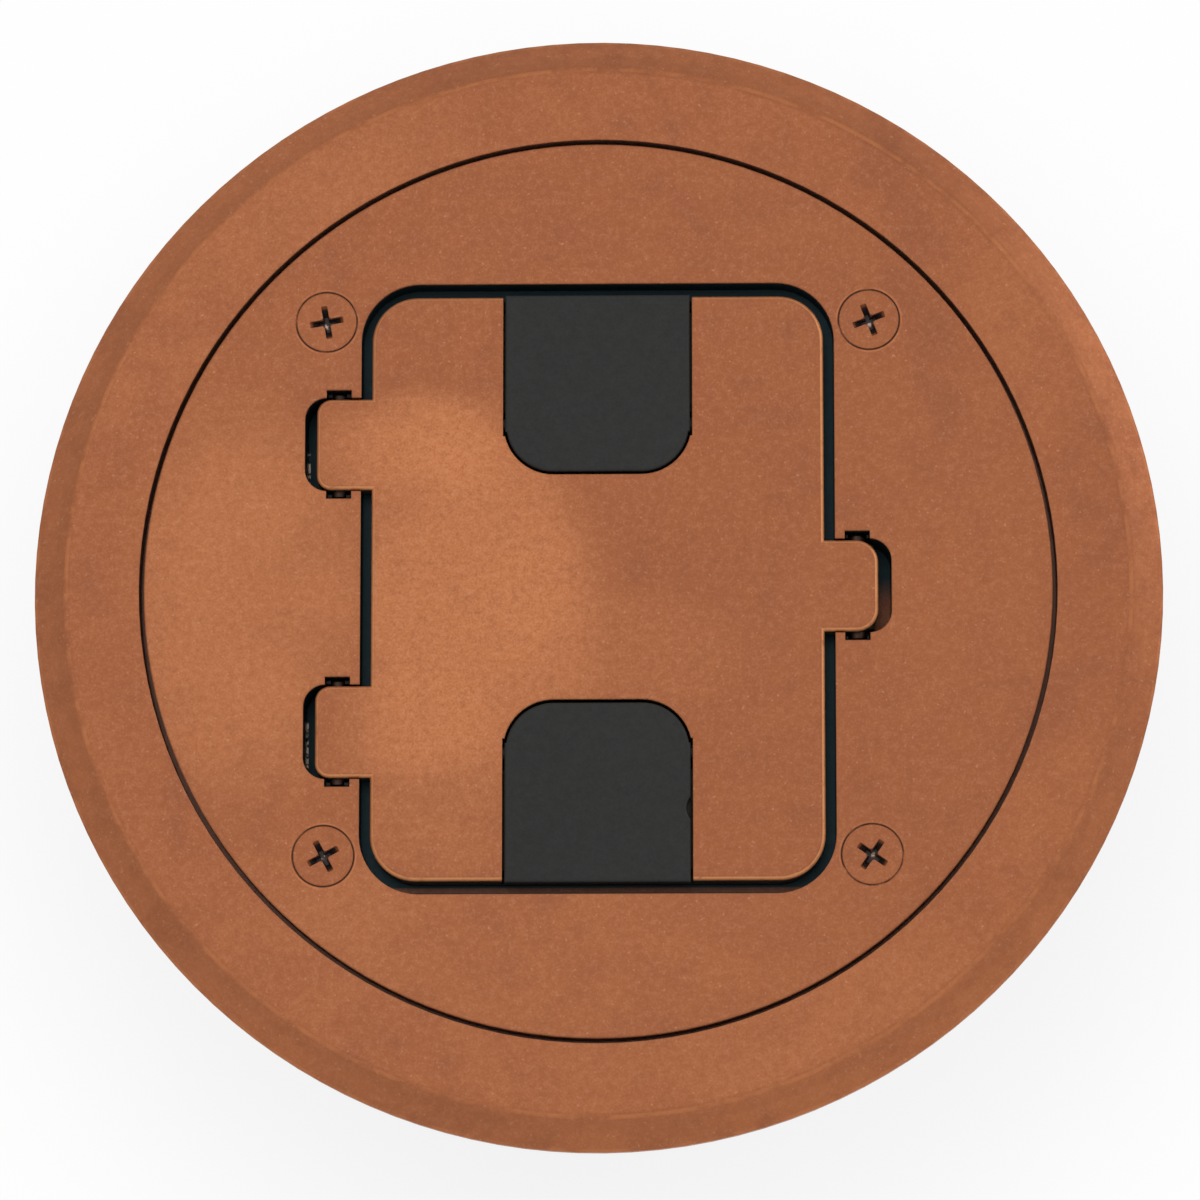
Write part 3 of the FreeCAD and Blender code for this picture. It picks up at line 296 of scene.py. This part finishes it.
def newFinish(name):
    # A material with its Principled shader and the piece's own coordinates.
    material = bpy.data.materials.new(name)
    material.use_nodes = True
    tree = material.node_tree
    tree.nodes.clear()
    shader = addNode(tree, "ShaderNodeBsdfPrincipled")
    output = addNode(tree, "ShaderNodeOutputMaterial")
    link(tree, shader.outputs[0], output.inputs[0])
    return material, tree, shader, addNode(tree, "ShaderNodeTexCoord").outputs


def setRoughness(tree, shader, tone, middle, spread, low=0.0, high=1.0):
    rough = rangeNode(tree, tone, low, high, middle + spread, middle - spread)
    link(tree, rough, shader.inputs["Roughness"])


def setBump(tree, shader, height, distance, normal):
    bump = addNode(tree, "ShaderNodeBump")
    bump.inputs["Distance"].default_value = distance
    link(tree, height, bump.inputs["Height"])
    link(tree, normal, bump.inputs["Normal"])
    link(tree, bump.outputs[0], shader.inputs["Normal"])


# Places that the bronze finishes refer to, in millimetres.
plan = {
    "top": 4.0,
    "screwX": 36.76,
    "screwY": 36.6,
    "screwHead": 4.05,
    "crest": 71.9,
    "rim": 76.2,
    "pocketEnd": 39.6,
    "pocketGlint": 0.14,  # the glints of bare metal lie this far inside the pockets' end walls
    "plateR": 60.9,
    "wellR": 62.4,  # the flange's inner wall lies inside this radius
}

# Satin bronze. Each bronze piece has a copy of this with its own values.
bronze = {
    "colour": (0.405, 0.1345, 0.054),
    "light": (0.62, 0.225, 0.088),  # painted sheen and painted highlights, on edges partly wear
    "warm": (0.43, 0.146, 0.060),
    "red": (0.345, 0.112, 0.052),
    "dark": (0.27, 0.088, 0.040),
    "fleck": (0.66, 0.34, 0.20),
    "edgeHighlight": (0.86, 0.37, 0.15),  # painted highlight on rounded edges
    "recess": (0.018, 0.036, 0.042),  # painted shade on the walls of the gaps
    "crossRecessShade": (0.050, 0.040, 0.040),  # painted shade in the screws' cross recesses
    "creviceShade": (0.050, 0.020, 0.014),  # painted shade in the crevice round the screws' heads
    # bare metal at a nick, bare metal with a painted glint in the pockets, and a painted glint in
    # the screws' recesses
    "bareAndGlint": (0.95, 0.72, 0.55),
    "underside": (0.20, 0.075, 0.036),
    "metallic": 0.55,
    "specular": 0.2,
    "roughness": 0.46,
    "roughnessSpread": 0.06,
    "bump": 0.02 * mm,
    "blotchScale": 60.0,
    "cloudScale": 240.0,
    "unevenness": 0.8,
    "ovalWobble": 0.8,  # how far the blotches push an oval's edge
    "ovalRange": (0.05, 1.3),  # squared reach where an oval starts to fade and is gone
    "warmth": (-0.05, 0.2, 0.45),  # blotch values where it starts and is full, and its share
    "redness": (0.0, -0.14, 0.4),
    "darkness": (0.02, -0.2, 0.16),
    "smudges": (130.0, 0.42, 0.6, 0.28),  # noise scale, its range, and their share
    "redFade": (0.05, 0.6),  # how strong the painted sheen is where the red starts to go and is gone
    "speckleScale": 3200.0,
    "speckleDepth": 0.12,
    "darkTones": (0.1, 0.5),
    "lightTones": (0.5, 0.9),
    "patchGrain": 0.7,  # how much stronger the grain is under the painted sheen
    "flecks": 0.35,
    "edges": 0.5,
    "edgeWidth": 0.4 * mm,
    "edgeBreakup": 700.0,
    "edgeBelow": (0.7, 0.4),  # edges get the painted highlight down to these depths below the top
    "roundedHighlight": 0.0,
    "roundedUp": (0.93, 0.998),  # the part of the rounding that gets the painted highlight, by how level it is
    "roundedLean": (0.5, 0.7),  # how much leaning to the right and to the front count
    "roundedRange": (-0.45, 0.2, 0.35),  # lean where the painted highlight is least and is full, and the least
    "roundedChips": (700.0, 0.1, 0.5),  # noise scale and its range
    "lineChips": 260.0,
    "lineRange": {"light": (0.38, 0.62), "dark": (0.22, 0.5), "creviceShade": (0.22, 0.5),
                  "crossRecessShade": (0.22, 0.5)},
    "bareChips": (1100.0, 0.44, 0.58),
    "recessDepth": (0.35, 0.75),  # the painted shade of the gaps starts and is full at these depths
    "castBelow": -100.0,  # below this height the surface is plain cast metal
    "patches": (),
    "lines": (),
    "bareAndGlintPlaces": (),
    "shades": (),
}

# painted sheen patch, a reflection of the lamps: middle x, y and reach x, y in millimetres, and
# how strong it is
lidBronze = dict(
    bronze,
    recess=(0.065, 0.065, 0.050),
    roundedHighlight=0.7,
    castBelow=0.9,
    patches=[
        (-18.5, -0.5, 20.5, 27.0, 0.72),
        (-25.0, 19.3, 13.5, 8.0, 0.74),
        (-15.0, 13.0, 10.0, 9.0, 0.42),
        (-24.0, -18.5, 12.0, 8.0, 0.45),
        (-10.0, 0.5, 9.0, 11.5, 0.3),
        (4.0, -9.0, 19.0, 9.0, 0.3),
        (-22.0, -30.0, 16.0, 12.0, 0.3),
    ],
)

# line: kind, middle radius, half width and soft edge in millimetres, strength and tint
# bare metal and painted glint place: kind, middle x, y, half width x, y, middle and half depth
# below the top, strength
# shade: kind, its edge in millimetres, how much the painted shade of the gaps is lifted
glintX = plan["pocketGlint"] - plan["pocketEnd"]
plateBronze = dict(
    bronze,
    patchGrain=0.3,
    edges=0.35,
    # painted sheen patches, reflections of the lamps
    patches=[
        (-48.0, -1.9, 20.0, 30.0, 0.55),
        (-14.0, -50.0, 60.0, 16.0, 0.2),
        (-36.0, -42.0, 14.0, 10.0, 0.2),
        (48.0, 0.0, 14.0, 36.0, 0.1),
    ],
    lines=[
        # a painted highlight ring round each screw head, and painted shade in the crevice beside
        # it
        ("screw", plan["screwHead"] + 0.34, 0.06, 0.12, 0.5, "light"),
        ("screw", plan["screwHead"] + 0.08, 0.08, 0.10, 0.9, "creviceShade"),
    ],
    bareAndGlintPlaces=[
        # the pockets' end walls: bare metal with a painted glint
        ("pocket", glintX, 17.5, 0.14, 2.1, 6.2, 1.1, 1.0),
        ("pocket", glintX, -20.6, 0.14, 2.9, 6.2, 1.1, 0.9),
        ("nick", -plan["plateR"], -11.1, 0.35, 0.12, 0.0, 0.9, 0.8),
    ],
    shades=[("outside", plan["plateR"], 0.4), ("front", -40.75, 0.38), ("latch", 37.0, 0.58)],
)

flangeBronze = dict(
    bronze,
    colour=(0.427, 0.142, 0.0575),
    recess=(0.28, 0.15, 0.11),
    patchGrain=0.3,
    edges=0.3,
    edgeWidth=0.3 * mm,
    # painted sheen patches, reflections of the lamps
    patches=[
        (38.0, -58.0, 34.0, 16.0, 0.3),
        (-38.0, -56.0, 30.0, 14.0, 0.14),
        (-44.0, 58.0, 28.0, 16.0, 0.26),
        (-64.0, 34.0, 14.0, 18.0, 0.14),
        (62.0, 37.0, 14.0, 18.0, 0.2),
        (64.0, -36.0, 12.0, 20.0, 0.2),
        (4.0, -69.0, 34.0, 10.0, 0.16),
    ],
    lines=[
        # a lighter bevel, a highlight along the crest that is partly wear, a painted shade stripe
        # just outside the crest, and a highlight at the rim's edge
        ("ring", plan["crest"] + 2.2, 1.5, 0.8, 0.2, "light"),
        ("ring", plan["crest"] - 0.1, 0.14, 0.25, 0.55, "light"),
        ("ring", plan["crest"] + 0.9, 0.4, 0.9, 0.12, "dark"),
        ("ring", plan["rim"] - 0.1, 0.15, 0.25, 0.5, "light"),
    ],
    shades=[("outside", plan["wellR"], 1.0)],
)

screwBronze = dict(
    bronze,
    # painted shade on the walls of the cross recess
    recess=(0.075, 0.058, 0.056),
    edges=0.3,
    edgeWidth=0.2 * mm,
    # painted shade in the middle of the cross recess
    lines=[("screw", 0.0, 0.66, 0.25, 0.95, "crossRecessShade")],
    # a painted glint at the bottom of the cross recess
    bareAndGlintPlaces=[("screw", 0.1, -0.25, 0.16, 0.05, 1.6, 0.9, 0.8)],
)


def screwPlace(tree, x, y):
    # Place measured from the nearest cover screw: the four lie mirrored in x and y.
    u = mathNode(tree, "SUBTRACT", mathNode(tree, "ABSOLUTE", x), plan["screwX"] * mm)
    v = mathNode(tree, "SUBTRACT", mathNode(tree, "ABSOLUTE", y), plan["screwY"] * mm)
    return u, v


def sheenMask(tree, values, x, y, blotch):
    # Painted sheen, the lamps' soft reflection: soft ovals, 1 at the middle and 0 past the edge,
    # joined as 1 - (1 - a)(1 - b).
    outsideSheen = None
    for patchX, patchY, reachX, reachY, amount in values["patches"]:
        u = mathNode(tree, "DIVIDE", mathNode(tree, "SUBTRACT", x, patchX * mm), reachX * mm)
        v = mathNode(tree, "DIVIDE", mathNode(tree, "SUBTRACT", y, patchY * mm), reachY * mm)
        reach = mathNode(tree, "ADD", multiplied(tree, u, u), multiplied(tree, v, v))
        pushed = multiplied(tree, blotch, values["ovalWobble"])
        wobble = mathNode(tree, "ADD", reach, pushed)
        oval = rangeNode(tree, wobble, *values["ovalRange"], amount, 0.0, True)
        free = opposite(tree, oval)
        outsideSheen = free if outsideSheen is None else multiplied(tree, outsideSheen, free)
    return None if outsideSheen is None else opposite(tree, outsideSheen)


def mottledBronze(tree, values, place, blotch, cloud, sheen):
    # The base colour, lighter under the painted sheen, with warm, red and dark clouds over it.
    base = values["colour"]
    if sheen is not None:
        base = mixColour(tree, sheen, base, values["light"])
    low, high, share = values["warmth"]
    base = mixColour(tree, rangeNode(tree, blotch, low, high, 0.0, share, True), base,
                     values["warm"])
    low, high, share = values["redness"]
    reddish = rangeNode(tree, blotch, low, high, 0.0, share, True)
    scale, low, high, share = values["smudges"]
    smudge = brokenNoise(tree, place, scale, low, high)
    reddish = mathNode(tree, "MULTIPLY_ADD", smudge, share, reddish)
    if sheen is not None:
        beyondSheen = rangeNode(tree, sheen, *values["redFade"], 1.0, 0.0)
        reddish = multiplied(tree, reddish, beyondSheen)
    base = mixColour(tree, reddish, base, values["red"])
    low, high, share = values["darkness"]
    return mixColour(tree, rangeNode(tree, cloud, low, high, 0.0, share, True), base,
                     values["dark"])


def grainedBronze(tree, values, base, grain, sheen):
    # The powdery grain darkens and lightens the colour, most under the painted sheen.
    sheenShare = 0.0 if sheen is None else sheen
    strength = mathNode(tree, "MULTIPLY_ADD", sheenShare, values["patchGrain"], 1.0)
    depth = values["speckleDepth"]
    darker = rangeNode(tree, grain["Tone"], *values["darkTones"], depth * 2.0, 0.0)
    darker = mathNode(tree, "MULTIPLY", darker, strength, clamp=True)
    base = mixColour(tree, darker, base, values["dark"])
    lighter = rangeNode(tree, grain["Tone"], *values["lightTones"], 0.0, depth * 1.5)
    lighter = mathNode(tree, "MULTIPLY", lighter, strength, clamp=True)
    base = mixColour(tree, lighter, base, values["fleck"])
    return mixColour(tree, grain["Fleck"], base, values["fleck"])


def edgeHighlightBronze(tree, values, base, place, z, facing, edgeMask):
    # Painted highlight, partly wear: edges round the top face are lighter, rounded ones most on
    # the front right, which faces the lamps.
    sideX, sideY, up = facing
    low, high = values["edgeBelow"]
    nearTop = rangeNode(tree, z, (plan["top"] - low) * mm, (plan["top"] - high) * mm)
    base = mixColour(tree, multiplied(tree, nearTop, edgeMask, values["edges"]), base,
                     values["light"])
    toRight, toFront = values["roundedLean"]
    lean = mathNode(tree, "SUBTRACT", multiplied(tree, sideX, toRight),
                    multiplied(tree, sideY, toFront))
    towardLight = rangeNode(tree, lean, *values["roundedRange"], 1.0)
    rounded = rangeNode(tree, up, *values["roundedUp"], 1.0, 0.0, True)
    broken = brokenNoise(tree, place, *values["roundedChips"])
    highlight = multiplied(tree, nearTop, rounded, towardLight, broken, values["roundedHighlight"])
    return mixColour(tree, highlight, base, values["edgeHighlight"])


def linedBronze(tree, values, base, place, x, y, up):
    # Rings of painted highlight and painted shade on the upward faces, round the axis or round the
    # screws; the crest's light ring is partly wear.
    upward = rangeNode(tree, up, 0.3, 0.6)
    for kind, middle, half, soft, amount, tint in values["lines"]:
        u, v = (x, y) if kind == "ring" else screwPlace(tree, x, y)
        band = bandMask(tree, circleReach(tree, u, v), middle * mm, half * mm, soft * mm)
        broken = brokenNoise(tree, place, values["lineChips"], *values["lineRange"][tint])
        base = mixColour(tree, multiplied(tree, band, upward, broken, amount), base, values[tint])
    return base


def gapShadeMask(tree, values, x, y, z):
    # Painted shade: 1 on the walls below the top face, and less where a shade lifts the dark.
    high, low = values["recessDepth"]
    below = rangeNode(tree, z, (plan["top"] - low) * mm, (plan["top"] - high) * mm, 1.0, 0.0, True)
    for kind, edge, amount in values["shades"]:
        if kind == "outside":
            lifted = rangeNode(tree, circleReach(tree, x, y), edge * mm, (edge + 0.1) * mm,
                               0.0, amount)
        elif kind == "front":
            lifted = multiplied(tree, bandMask(tree, y, edge * mm, 0.2 * mm, 0.3 * mm), amount)
        else:
            # the front part of the wall beside the latch tab
            right = rangeNode(tree, x, edge * mm, (edge + 0.5) * mm, 0.0, amount)
            lifted = multiplied(tree, right,
                                rangeNode(tree, y, -2.0 * mm, 2.5 * mm, 1.0, 0.0, True))
        below = multiplied(tree, below, opposite(tree, lifted))
    return below


def bareAndGlintBronze(tree, values, base, place, x, y, z):
    # Bare metal where the finish has gone, with a painted glint on it in the pockets, and a
    # painted glint in the screws' recesses: a soft box on the surface, broken up by noise.
    for kind, midX, midY, halfX, halfY, depth, halfDepth, amount in values["bareAndGlintPlaces"]:
        u, v = screwPlace(tree, x, y) if kind == "screw" else (x, y)
        across = bandMask(tree, u, midX * mm, halfX * mm, 0.15 * mm)
        along = bandMask(tree, v, midY * mm, halfY * mm, 0.5 * mm)
        down = bandMask(tree, z, (plan["top"] - depth) * mm, halfDepth * mm, 0.2 * mm)
        chips = brokenNoise(tree, place, *values["bareChips"])
        base = mixColour(tree, multiplied(tree, across, along, down, chips, amount), base,
                         values["bareAndGlint"])
    return base


def bronzeFinish(name, values):
    # Satin metallic bronze: mottled and grained, with painted sheen, painted highlights on edges,
    # painted shade in the gaps, bare metal and painted glints, and plain cast metal underneath.
    material, tree, shader, coordinates = newFinish(name)
    place = coordinates["Object"]
    x, y, z = splitVector(tree, place)
    facing = splitVector(tree, coordinates["Normal"])
    up = facing[2]
    grain = useGroup(tree, speckleGroup, place, Scale=values["speckleScale"],
                     Flecks=values["flecks"])
    blotch = useGroup(tree, blotchGroup, place, Scale=values["blotchScale"],
                      Strength=values["unevenness"])["Value"]
    cloud = useGroup(tree, blotchGroup, place, Scale=values["cloudScale"],
                     Strength=values["unevenness"])["Value"]
    edge = useGroup(tree, edgeWearHighlightGroup, place, Width=values["edgeWidth"],
                    Breakup=values["edgeBreakup"])

    # painted sheen: the lamps' reflection painted into the colour
    sheen = sheenMask(tree, values, x, y, blotch)
    base = mottledBronze(tree, values, place, blotch, cloud, sheen)
    base = grainedBronze(tree, values, base, grain, sheen)
    base = edgeHighlightBronze(tree, values, base, place, z, facing, edge["Mask"])
    base = linedBronze(tree, values, base, place, x, y, up)
    # painted shade on the walls of the gaps
    base = mixColour(tree, gapShadeMask(tree, values, x, y, z), base, values["recess"])
    castBelow = values["castBelow"]
    cast = rangeNode(tree, z, (castBelow - 0.1) * mm, (castBelow + 0.1) * mm, 1.0, 0.0)
    under = mathNode(tree, "MAXIMUM", rangeNode(tree, up, -0.6, -0.4, 1.0, 0.0), cast)
    base = mixColour(tree, under, base, values["underside"])
    base = bareAndGlintBronze(tree, values, base, place, x, y, z)

    link(tree, base, shader.inputs["Base Color"])
    shader.inputs["Metallic"].default_value = values["metallic"]
    shader.inputs["Specular IOR Level"].default_value = values["specular"]
    setRoughness(tree, shader, grain["Tone"], values["roughness"], values["roughnessSpread"])
    setBump(tree, shader, grain["Height"], values["bump"], edge["Normal"])
    return material


plastic = {
    "grainScale": 2600.0,
    "blotchScale": 40.0,
    "shadeRange": (0.2, 0.9),
    "edges": 0.25,
    "edgeWidth": 0.3 * mm,
    "edgeBreakup": 1200.0,
    "edgeLighter": (1.6, 0.01),  # the edges' colour is the colour times this plus this
    "specular": 0.3,
    "roughnessSpread": 0.07,
    "bump": 0.02 * mm,
}


def edgeColour(values):
    factor, lift = values["edgeLighter"]
    return tuple(min(part * factor + lift, 1.0) for part in values["colour"])


def plasticFinish(name, **own):
    # Moulded plastic: fine grain, slow shade variation, and edges lightened as slight polish and
    # as a painted highlight.
    values = dict(plastic, **own)
    material, tree, shader, coordinates = newFinish(name)
    place = coordinates["Object"]
    grain = useGroup(tree, speckleGroup, place, Scale=values["grainScale"], Flecks=0.0)
    blotch = useGroup(tree, blotchGroup, place, Scale=values["blotchScale"], Strength=1.0)
    edge = useGroup(tree, edgeWearHighlightGroup, place, Width=values["edgeWidth"],
                    Breakup=values["edgeBreakup"])
    tone = mathNode(tree, "ADD", grain["Tone"], blotch["Value"])
    base = mixColour(tree, rangeNode(tree, tone, *values["shadeRange"]), values["colour"],
                     values["shade"])
    base = mixColour(tree, multiplied(tree, edge["Mask"], values["edges"]), base,
                     edgeColour(values))
    link(tree, base, shader.inputs["Base Color"])
    shader.inputs["Specular IOR Level"].default_value = values["specular"]
    setRoughness(tree, shader, grain["Tone"], values["roughness"], values["roughnessSpread"])
    setBump(tree, shader, grain["Height"], values["bump"], edge["Normal"])
    return material


metal = {
    "drawn": (300.0, 3000.0, 300.0),  # the drawn lines' scale along x, y and z
    "blotchScale": 120.0,
    "shadeRange": (0.35, 0.75),
    "edges": 0.5,
    "edgeWidth": 0.2 * mm,
    "edgeBreakup": 1500.0,
    "edgeLighter": (1.25, 0.03),
    "roughnessSpread": 0.08,
    "bump": 0.01 * mm,
}


def metalFinish(name, **own):
    # Bare or plated metal: fine drawn lines, stains and polished edges.
    values = dict(metal, **own)
    material, tree, shader, coordinates = newFinish(name)
    place = coordinates["Object"]
    stretch = addNode(tree, "ShaderNodeVectorMath", operation="MULTIPLY")
    link(tree, place, stretch.inputs[0])
    stretch.inputs[1].default_value = values["drawn"]
    lines = noiseNode(tree, stretch.outputs[0], 1.0, 3.0, 0.6)
    blotch = useGroup(tree, blotchGroup, place, Scale=values["blotchScale"], Strength=1.0)
    edge = useGroup(tree, edgeWearHighlightGroup, place, Width=values["edgeWidth"],
                    Breakup=values["edgeBreakup"])
    tone = mathNode(tree, "ADD", lines, blotch["Value"])
    base = mixColour(tree, rangeNode(tree, tone, *values["shadeRange"]), values["colour"],
                     values["shade"])
    base = mixColour(tree, multiplied(tree, edge["Mask"], values["edges"]), base,
                     edgeColour(values))
    link(tree, base, shader.inputs["Base Color"])
    shader.inputs["Metallic"].default_value = 1.0
    setRoughness(tree, shader, lines, values["roughness"], values["roughnessSpread"], 0.3, 0.7)
    setBump(tree, shader, lines, values["bump"], edge["Normal"])
    return material


# name: colour, the shade it varies to, and roughness
plastics = {
    "seal_rubber": ((0.012, 0.012, 0.013), (0.02, 0.02, 0.022), 0.75),
    "box_plastic": ((0.30, 0.32, 0.34), (0.36, 0.38, 0.40), 0.5),
    "plug_plastic": ((0.22, 0.235, 0.25), (0.26, 0.275, 0.29), 0.5),
    "liner_plastic": ((0.03, 0.03, 0.03), (0.042, 0.042, 0.043), 0.5),
    "outlet_plastic": ((0.72, 0.66, 0.52), (0.78, 0.72, 0.58), 0.3),
    "base_plastic": ((0.05, 0.05, 0.052), (0.07, 0.07, 0.072), 0.5),
}
metals = {
    "steel_pin": ((0.085, 0.05, 0.038), (0.05, 0.032, 0.026), 0.45),
    "spring_steel": ((0.04, 0.036, 0.036), (0.025, 0.024, 0.024), 0.55),
    "plated_steel": ((0.5, 0.5, 0.48), (0.4, 0.4, 0.39), 0.32),
    "brass_part": ((0.62, 0.43, 0.16), (0.5, 0.33, 0.12), 0.3),
    "green_screw": ((0.03, 0.22, 0.07), (0.02, 0.16, 0.05), 0.35),
}
flapPlastic = {
    "colour": (0.0185, 0.0187, 0.0176),
    "shade": (0.0235, 0.0238, 0.0224),
    "roughness": 0.55,
    # the flaps' lighter edges are a painted highlight
    "edges": 0.8,
    "edgeWidth": 0.7 * mm,
}

finishes = {
    "bronze_lid": bronzeFinish("bronze_lid", lidBronze),
    "bronze_plate": bronzeFinish("bronze_plate", plateBronze),
    "bronze_flange": bronzeFinish("bronze_flange", flangeBronze),
    "bronze_screw": bronzeFinish("bronze_screw", screwBronze),
    "flap_plastic": plasticFinish("flap_plastic", **flapPlastic),
}
for name, (colour, shade, roughness) in plastics.items():
    finishes[name] = plasticFinish(name, colour=colour, shade=shade, roughness=roughness)
for name, (colour, shade, roughness) in metals.items():
    finishes[name] = metalFinish(name, colour=colour, shade=shade, roughness=roughness)
print("finishes made:", len(finishes))


# The large bronze pieces have a finish each; every other node takes its record's slot.
ownFinish = {"lid": "bronze_lid", "cover_plate": "bronze_plate", "flange_ring": "bronze_flange"}
for row in frame["record"]["subparts"]:
    node = frame["nodes"][row["node"]]
    finish = finishes[ownFinish.get(row["node"], row["material_slot"])]
    node.data.materials.clear()
    node.data.materials.append(finish)
print("finishes set on the carried-over nodes")


studio = {
    "floor": cadBox[0][2],
    "floorGap": 0.2 * mm,
    "floorSize": 6.0,
    "floorGrey": 0.94,
    "whiteNear": 0.80,
    "whiteFar": 0.97,
    "whiteReach": (0.066, 0.118),  # distances from the axis between which the floor turns whiter
    "worldStrength": 0.86,
    "cameraWhite": 1.0,
}


def seenRays(tree, *kinds):
    # 1 for the kinds of ray named, 0 for the others.
    path = addNode(tree, "ShaderNodeLightPath")
    seen = path.outputs[kinds[0]]
    for kind in kinds[1:]:
        seen = mathNode(tree, "MAXIMUM", seen, path.outputs[kind])
    return seen


def buildFloor(values):
    # A pale floor that camera, mirror and glass rays see as white where it is not in shadow.
    mesh = bpy.data.meshes.new("floor")
    half = values["floorSize"] / 2.0
    height = values["floor"] - values["floorGap"]
    corners = [(-half, -half, height), (half, -half, height), (half, half, height),
               (-half, half, height)]
    mesh.from_pydata(corners, [], [(0, 1, 2, 3)])
    floor = bpy.data.objects.new("floor", mesh)
    scene.collection.objects.link(floor)
    material = bpy.data.materials.new("floor")
    material.use_nodes = True
    tree = material.node_tree
    tree.nodes.clear()
    diffuse = addNode(tree, "ShaderNodeBsdfDiffuse")
    diffuse.inputs[0].default_value = (*[values["floorGrey"]] * 3, 1.0)
    white = addNode(tree, "ShaderNodeEmission")
    x, y = splitVector(tree, addNode(tree, "ShaderNodeTexCoord").outputs["Object"])[:2]
    share = rangeNode(tree, circleReach(tree, x, y), *values["whiteReach"],
                      values["whiteNear"], values["whiteFar"], True)
    seen = seenRays(tree, "Is Camera Ray", "Is Glossy Ray", "Is Transmission Ray")
    both = addNode(tree, "ShaderNodeMixShader")
    link(tree, multiplied(tree, seen, share), both.inputs[0])
    link(tree, diffuse.outputs[0], both.inputs[1])
    link(tree, white.outputs[0], both.inputs[2])
    output = addNode(tree, "ShaderNodeOutputMaterial")
    link(tree, both.outputs[0], output.inputs[0])
    mesh.materials.append(material)


def buildWorld(values):
    # An even white world that lights a little less than the camera sees.
    world = bpy.data.worlds.new("studio")
    world.use_nodes = True
    scene.world = world
    tree = world.node_tree
    tree.nodes.clear()
    seen = seenRays(tree, "Is Camera Ray", "Is Transmission Ray")
    strength = rangeNode(tree, seen, 0.0, 1.0, values["worldStrength"], values["cameraWhite"])
    background = addNode(tree, "ShaderNodeBackground")
    link(tree, strength, background.inputs["Strength"])
    output = addNode(tree, "ShaderNodeOutputWorld")
    link(tree, background.outputs[0], output.inputs[0])


# softbox: name, place, size and power; all face the middle of the piece
softboxes = [
    ("softboxTop", (-0.20, 0.30, 1.20), (0.6, 0.6), 1.3),
    ("softboxRight", (1.0, 0.55, 0.50), (0.8, 0.5), 2.0),
]


def addSoftbox(name, place, size, power):
    data = bpy.data.lights.new(name, "AREA")
    data.shape = "RECTANGLE"
    data.size, data.size_y = size
    data.energy = power
    lamp = bpy.data.objects.new(name, data)
    scene.collection.objects.link(lamp)
    lamp.location = place
    lamp.rotation_euler = (-Vector(place)).to_track_quat("-Z", "Y").to_euler()


buildFloor(studio)
buildWorld(studio)
for softbox in softboxes:
    addSoftbox(*softbox)
print("studio lit")
